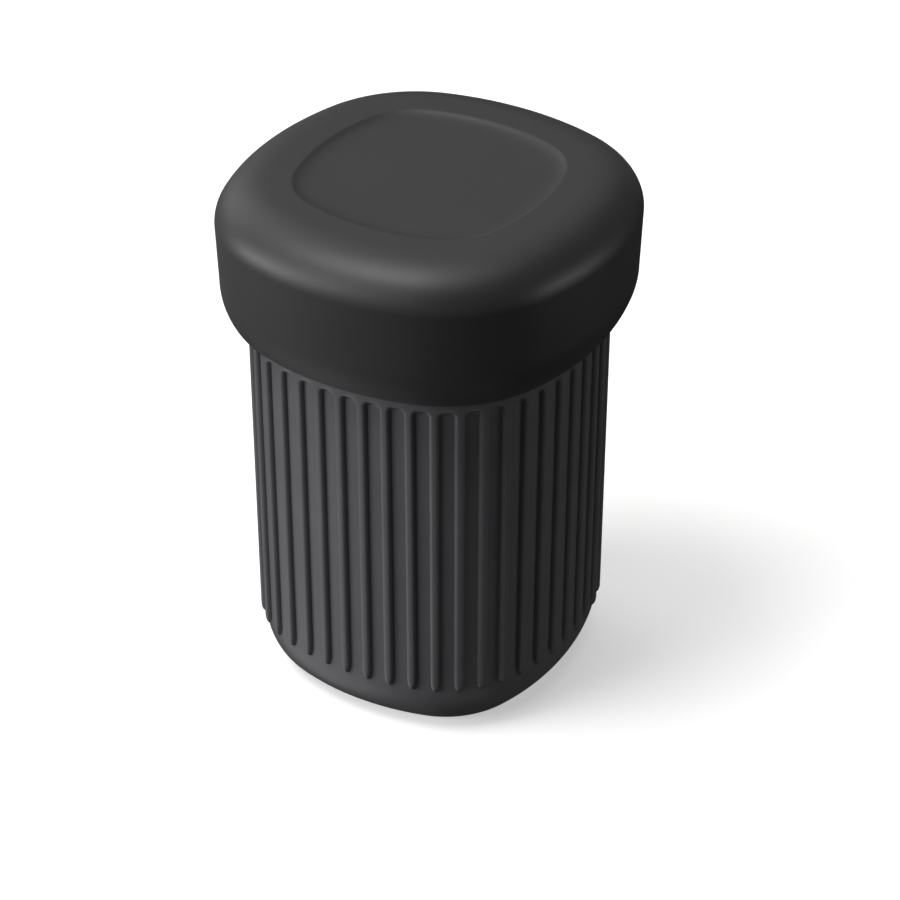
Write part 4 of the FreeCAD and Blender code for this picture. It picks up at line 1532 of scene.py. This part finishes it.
@dataclass
class Scoop:
    """The coffee scoop, on end in the plunger. Sizes in mm, drawn with the bowl's rim at height 0.

    Attributes:
        radius: Radius of the bowl's rim.
        foot: Radius of its foot.
        depth: Depth of the bowl.
        wall: Thickness.
        grip: Width of the handle.
        grip_thick: Thickness of the handle.
        grip_lap: How far the handle's root is sunk in the bowl's wall.
        edge: Radius of the rounded edges.
    """

    radius: float = 17.0
    foot: float = 13.0
    depth: float = 19.0
    wall: float = 1.5
    grip: float = 12.0
    grip_thick: float = 2.4
    grip_lap: float = 1.0
    edge: float = 0.35

    def build(self, material: bpy.types.Material) -> None:
        """Makes the scoop and puts it in place."""
        low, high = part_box("scoop")
        centre = low.z + self.radius * MM
        length = (high.z - centre) / MM
        wall, half = self.wall, self.grip / 2
        knots = [
            Knot(0, -self.depth), Knot(self.foot, -self.depth, 1.6), Knot(self.radius, 0, 0.4),
            Knot(self.radius - wall, 0, 0.4), Knot(self.foot - wall, wall - self.depth, 1.2),
            Knot(0, wall - self.depth),
        ]
        bowl = skin("coffee_scoop", soften(knots), circle_stations(128))
        start = self.radius - self.grip_lap
        outline = [(start, -half), *round_outline((length - half, 0), half, -90, 90, 24), (start, half)]
        grip = slab("scoop_grip", outline, -self.grip_thick, 0)
        place = standing(Vector((0, 0, 1)), Vector((0, high.y, centre)))
        thing = carve([bowl, grip], [], self.edge, place)
        place_piece(thing, "scoop", "scoop", material)


@dataclass
class Stirrer:
    """The folding stirrer: a forked handle, a slotted paddle and the pin they fold on. Sizes in mm.

    It is drawn about the hinge, along X, with the fold's middle at height 0.

    Attributes:
        width: Width of the handle.
        thick: Thickness of the handle.
        paddle_width: Width of the paddle.
        paddle_thick: Thickness of the paddle.
        slot: Width of a slot.
        bar: Width of the bars between the slots.
        slot_start: From the hinge to the slots.
        shoulder: From the hinge to the paddle's full width.
        hinge: Radius of the hinge's barrel.
        pin: Radius of the pin.
        tongue: Width of the paddle's half of the barrel.
        play: Gap each side of the tongue.
        gap: Gap between the folded halves, each side of the middle.
        edge: Radius of the rounded edges on both halves.
        pin_edge: Radius of the rounded edges on the pin.
    """

    width: float = 14.0
    thick: float = 3.0
    paddle_width: float = 20.0
    paddle_thick: float = 2.5
    slot: float = 3.0
    bar: float = 2.4
    slot_start: float = 19.5
    shoulder: float = 7.8
    hinge: float = 3.9
    pin: float = 1.5
    tongue: float = 8.0
    play: float = 0.2
    gap: float = 0.3
    edge: float = 0.3
    pin_edge: float = 0.35

    def place(self) -> Matrix:
        """Where the hinge is."""
        low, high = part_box("stirrer_pin")
        return standing(Vector((0, 0, -1)), (low + high) / 2)

    def length(self, node: str) -> float:
        """From the hinge to the free end of a half, in mm."""
        low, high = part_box("stirrer_pin")
        return ((low.z + high.z) / 2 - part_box(node)[0].z) / MM

    def build_handle(self, material: bpy.types.Material) -> None:
        """Makes the handle and puts it in place."""
        half, inner = self.width / 2, self.tongue / 2 + self.play
        clear = self.hinge + 2 * self.play
        tip = self.length("stirrer_handle") - half
        outline = [
            (clear, inner), (clear, -inner), (0, -inner), (0, -half),
            *round_outline((tip, 0), half, -90, 90, 24), (0, half), (0, inner),
        ]
        plate = slab("stirrer_handle_fork", outline, self.gap, self.gap + self.thick)
        ears = [rod("ear", self.hinge, inner, half), rod("ear", self.hinge, -half, -inner)]
        bore = rod("bore", self.pin + 0.02, -self.width, self.width, 32)
        thing = carve([plate, *ears], [bore], self.edge, self.place())
        place_piece(thing, "stirrer", "stirrer_handle", material)

    def build_paddle(self, material: bpy.types.Material) -> None:
        """Makes the paddle and puts it in place."""
        half, neck = self.paddle_width / 2, self.tongue / 2
        length = self.length("stirrer_paddle")
        root = self.hinge - 1.6
        outline = [
            (root, -neck), (self.shoulder, -neck), (self.shoulder, -half),
            *round_outline((length - half, 0), half, -90, 90, 32), (self.shoulder, half),
            (self.shoulder, neck), (root, neck),
        ]
        blade = slab("stirrer_paddle_slotted", outline, -self.gap - self.paddle_thick, -self.gap)
        tongue = rod("tongue", self.hinge, -neck, neck)
        cuts = [rod("bore", self.pin + 0.05, -self.width, self.width, 32)]
        far = length - self.paddle_width
        for side in (-1, 0, 1):
            middle, reach = side * (self.slot + self.bar), self.slot / 2
            corners = [
                (self.slot_start, middle - reach), (far, middle - reach), (far, middle + reach),
                (self.slot_start, middle + reach),
            ]
            cuts.append(slab("slot", corners, -2 * self.paddle_thick, self.gap))
        thing = carve([blade, tongue], cuts, self.edge, self.place())
        place_piece(thing, "stirrer", "stirrer_paddle", material)

    def build_pin(self, material: bpy.types.Material) -> None:
        """Makes the hinge's pin and puts it in place."""
        half = self.width / 2
        round_bar = rod("stirrer_pin_round", self.pin, -half, half, 48)
        thing = carve([round_bar], [], self.pin_edge, self.place())
        place_piece(thing, "stirrer", "stirrer_pin", material)


# ---------------------------------------------------------------------------------------------------
# The studio
# ---------------------------------------------------------------------------------------------------


@dataclass(frozen=True)
class SoftBox:
    """A soft light. Lengths in metres, from the middle of the object's foot.

    Attributes:
        name: Its name.
        right: To the camera's right.
        near: Towards the camera.
        up: Height.
        wide: Width of its face.
        tall: Height of its face.
        power: In watts.
    """

    name: str
    right: float
    near: float
    up: float
    wide: float
    tall: float
    power: float


SOFT_BOXES = (
    SoftBox("top", 0.0, 0.0, 1.30, 0.90, 0.90, 4.0),
    SoftBox("top_left", -0.50, 0.15, 1.20, 0.60, 0.60, 9.7),
    SoftBox("top_behind", 0.0, -0.90, 0.95, 1.40, 1.00, 2.1),
    SoftBox("left_behind", -0.85, -0.85, 0.60, 0.80, 0.80, 3.5),
    SoftBox("left_front", -0.95, 0.55, 0.50, 0.70, 0.70, 5.2),
    SoftBox("left_low", -1.15, 0.10, 0.17, 0.50, 0.30, 6.0),
    SoftBox("right_low", 1.08, 0.10, 0.09, 0.40, 0.16, 1.9),
    SoftBox("front_low", 0.10, 1.20, 0.22, 1.20, 0.40, 0.6),
    SoftBox("table_left", -0.45, 0.00, -0.50, 0.50, 0.40, 0.35),
    SoftBox("table_front", 0.15, 0.40, -0.50, 0.50, 0.40, 0.12),
)


@dataclass
class Studio:
    """A pale floor, soft lights and the camera. Lengths in metres, angles in degrees.

    Attributes:
        azimuth: The camera's direction round the object.
        elevation: Its height above the horizon.
        distance: From the point that it looks at.
        across: That point's shift to the camera's right of the axis.
        aim_height: That point's height.
        lens: Focal length, in mm.
        lamp_aim: Height that the soft boxes face.
        floor_reach: From the middle of the floor to its edges.
        floor_glow: Strength of the floor's own light.
        sweep_light: Strength of the sweep as a light.
        sweep_seen: Strength of the sweep as the camera sees it.
    """

    azimuth: float = 31.709
    elevation: float = 32.57
    distance: float = 0.9627
    across: float = 0.00487
    aim_height: float = 0.0575
    lens: float = 152.3
    lamp_aim: float = 0.07
    floor_reach: float = 4.0
    floor_glow: float = 0.45
    sweep_light: float = 0.02
    sweep_seen: float = 0.8

    def camera(self) -> None:
        """Makes the camera."""
        turn, lift = math.radians(self.azimuth), math.radians(self.elevation)
        back = Vector((math.sin(turn) * math.cos(lift), -math.cos(turn) * math.cos(lift), math.sin(lift)))
        right = Vector((math.cos(turn), math.sin(turn), 0))
        data = bpy.data.cameras.new("camera")
        data.lens, data.sensor_width = self.lens, 36.0
        data.clip_start, data.clip_end = 0.05, 20.0
        thing = bpy.data.objects.new("camera", data)
        thing.location = right * self.across + Vector((0, 0, self.aim_height)) + back * self.distance
        thing.rotation_mode = "QUATERNION"
        thing.rotation_quaternion = (-back).to_track_quat("-Z", "Y")
        bpy.context.scene.collection.objects.link(thing)
        bpy.context.scene.camera = thing

    def light(self, box: SoftBox) -> None:
        """Hangs one soft box so that it faces the object."""
        turn = math.radians(self.azimuth)
        right = Vector((math.cos(turn), math.sin(turn), 0))
        near = Vector((math.sin(turn), -math.cos(turn), 0))
        data = bpy.data.lights.new(box.name, "AREA")
        data.shape, data.size, data.size_y, data.energy = "RECTANGLE", box.wide, box.tall, box.power
        thing = bpy.data.objects.new(box.name, data)
        thing.location = right * box.right + near * box.near + Vector((0, 0, box.up))
        thing.rotation_mode = "QUATERNION"
        aim = Vector((0, 0, self.lamp_aim))
        thing.rotation_quaternion = (aim - thing.location).to_track_quat("-Z", "Y")
        bpy.context.scene.collection.objects.link(thing)

    def floor(self) -> None:
        """Makes the floor: the pale top of a light table, very slightly uneven in shade.

        The two lamps under it shine through it, and its own light is kept off the object's dark sides.
        """
        reach = self.floor_reach
        corners = [(-reach, -reach, 0), (reach, -reach, 0), (reach, reach, 0), (-reach, reach, 0)]
        thing = new_thing("floor", corners, [(0, 1, 2, 3)])
        board = Moulded("board_painted_pale", "e9e9e8", "efefee", 0.8, 0.9, 1.5, Grain(2.0, 0.01, 400.0, 0.5))
        paint = board.material()
        glow = paint.node_tree.nodes["Principled BSDF"].inputs
        glow["Emission Color"].default_value = linear("ffffff")
        glow["Emission Strength"].default_value = self.floor_glow
        thing.data.materials.append(paint)
        thing.visible_glossy = thing.visible_diffuse = thing.visible_shadow = False

    def sweep(self) -> bpy.types.World:
        """The pale sweep behind the object. Only the camera sees it bright: flags keep its light off."""
        world = bpy.data.worlds.new("studio")
        world.use_nodes = True
        tree = world.node_tree
        tree.nodes.clear()
        seen = add_node(tree, "ShaderNodeLightPath").outputs["Is Camera Ray"]
        strength = remap(tree, seen, {"To Min": self.sweep_light, "To Max": self.sweep_seen})
        shader = add_node(tree, "ShaderNodeBackground", {"Color": linear("ffffff"), "Strength": strength})
        add_node(tree, "ShaderNodeOutputWorld", {"Surface": shader.outputs["Background"]})
        return world

    def build(self) -> None:
        """Makes the whole studio."""
        self.camera()
        self.floor()
        for box in SOFT_BOXES:
            self.light(box)
        bpy.context.scene.world = self.sweep()
        scene = bpy.context.scene
        scene.view_settings.view_transform = "Standard"


# ---------------------------------------------------------------------------------------------------
# Everything in order
# ---------------------------------------------------------------------------------------------------


def main() -> None:
    """Builds every piece in order."""
    logging.basicConfig(level=logging.INFO, format="%(name)s: %(message)s")
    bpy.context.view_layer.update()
    Studio().build()
    Mug().build()
    Lid().build()
    black = BLACK_PLASTIC.material()
    Chamber().build(CHAMBER_PLASTIC.material())
    plunger = Plunger()
    plunger.build_tube(PLUNGER_PLASTIC.material())
    plunger.build_seal(SEAL_RUBBER.material())
    FilterCap().build(black)
    store = FilterStore()
    store.build_holder(black)
    store.build_papers()
    Scoop().build(black)
    stirrer = Stirrer()
    stirrer.build_handle(black)
    stirrer.build_paddle(black)
    stirrer.build_pin(black)


if __name__ == "__main__":
    main()
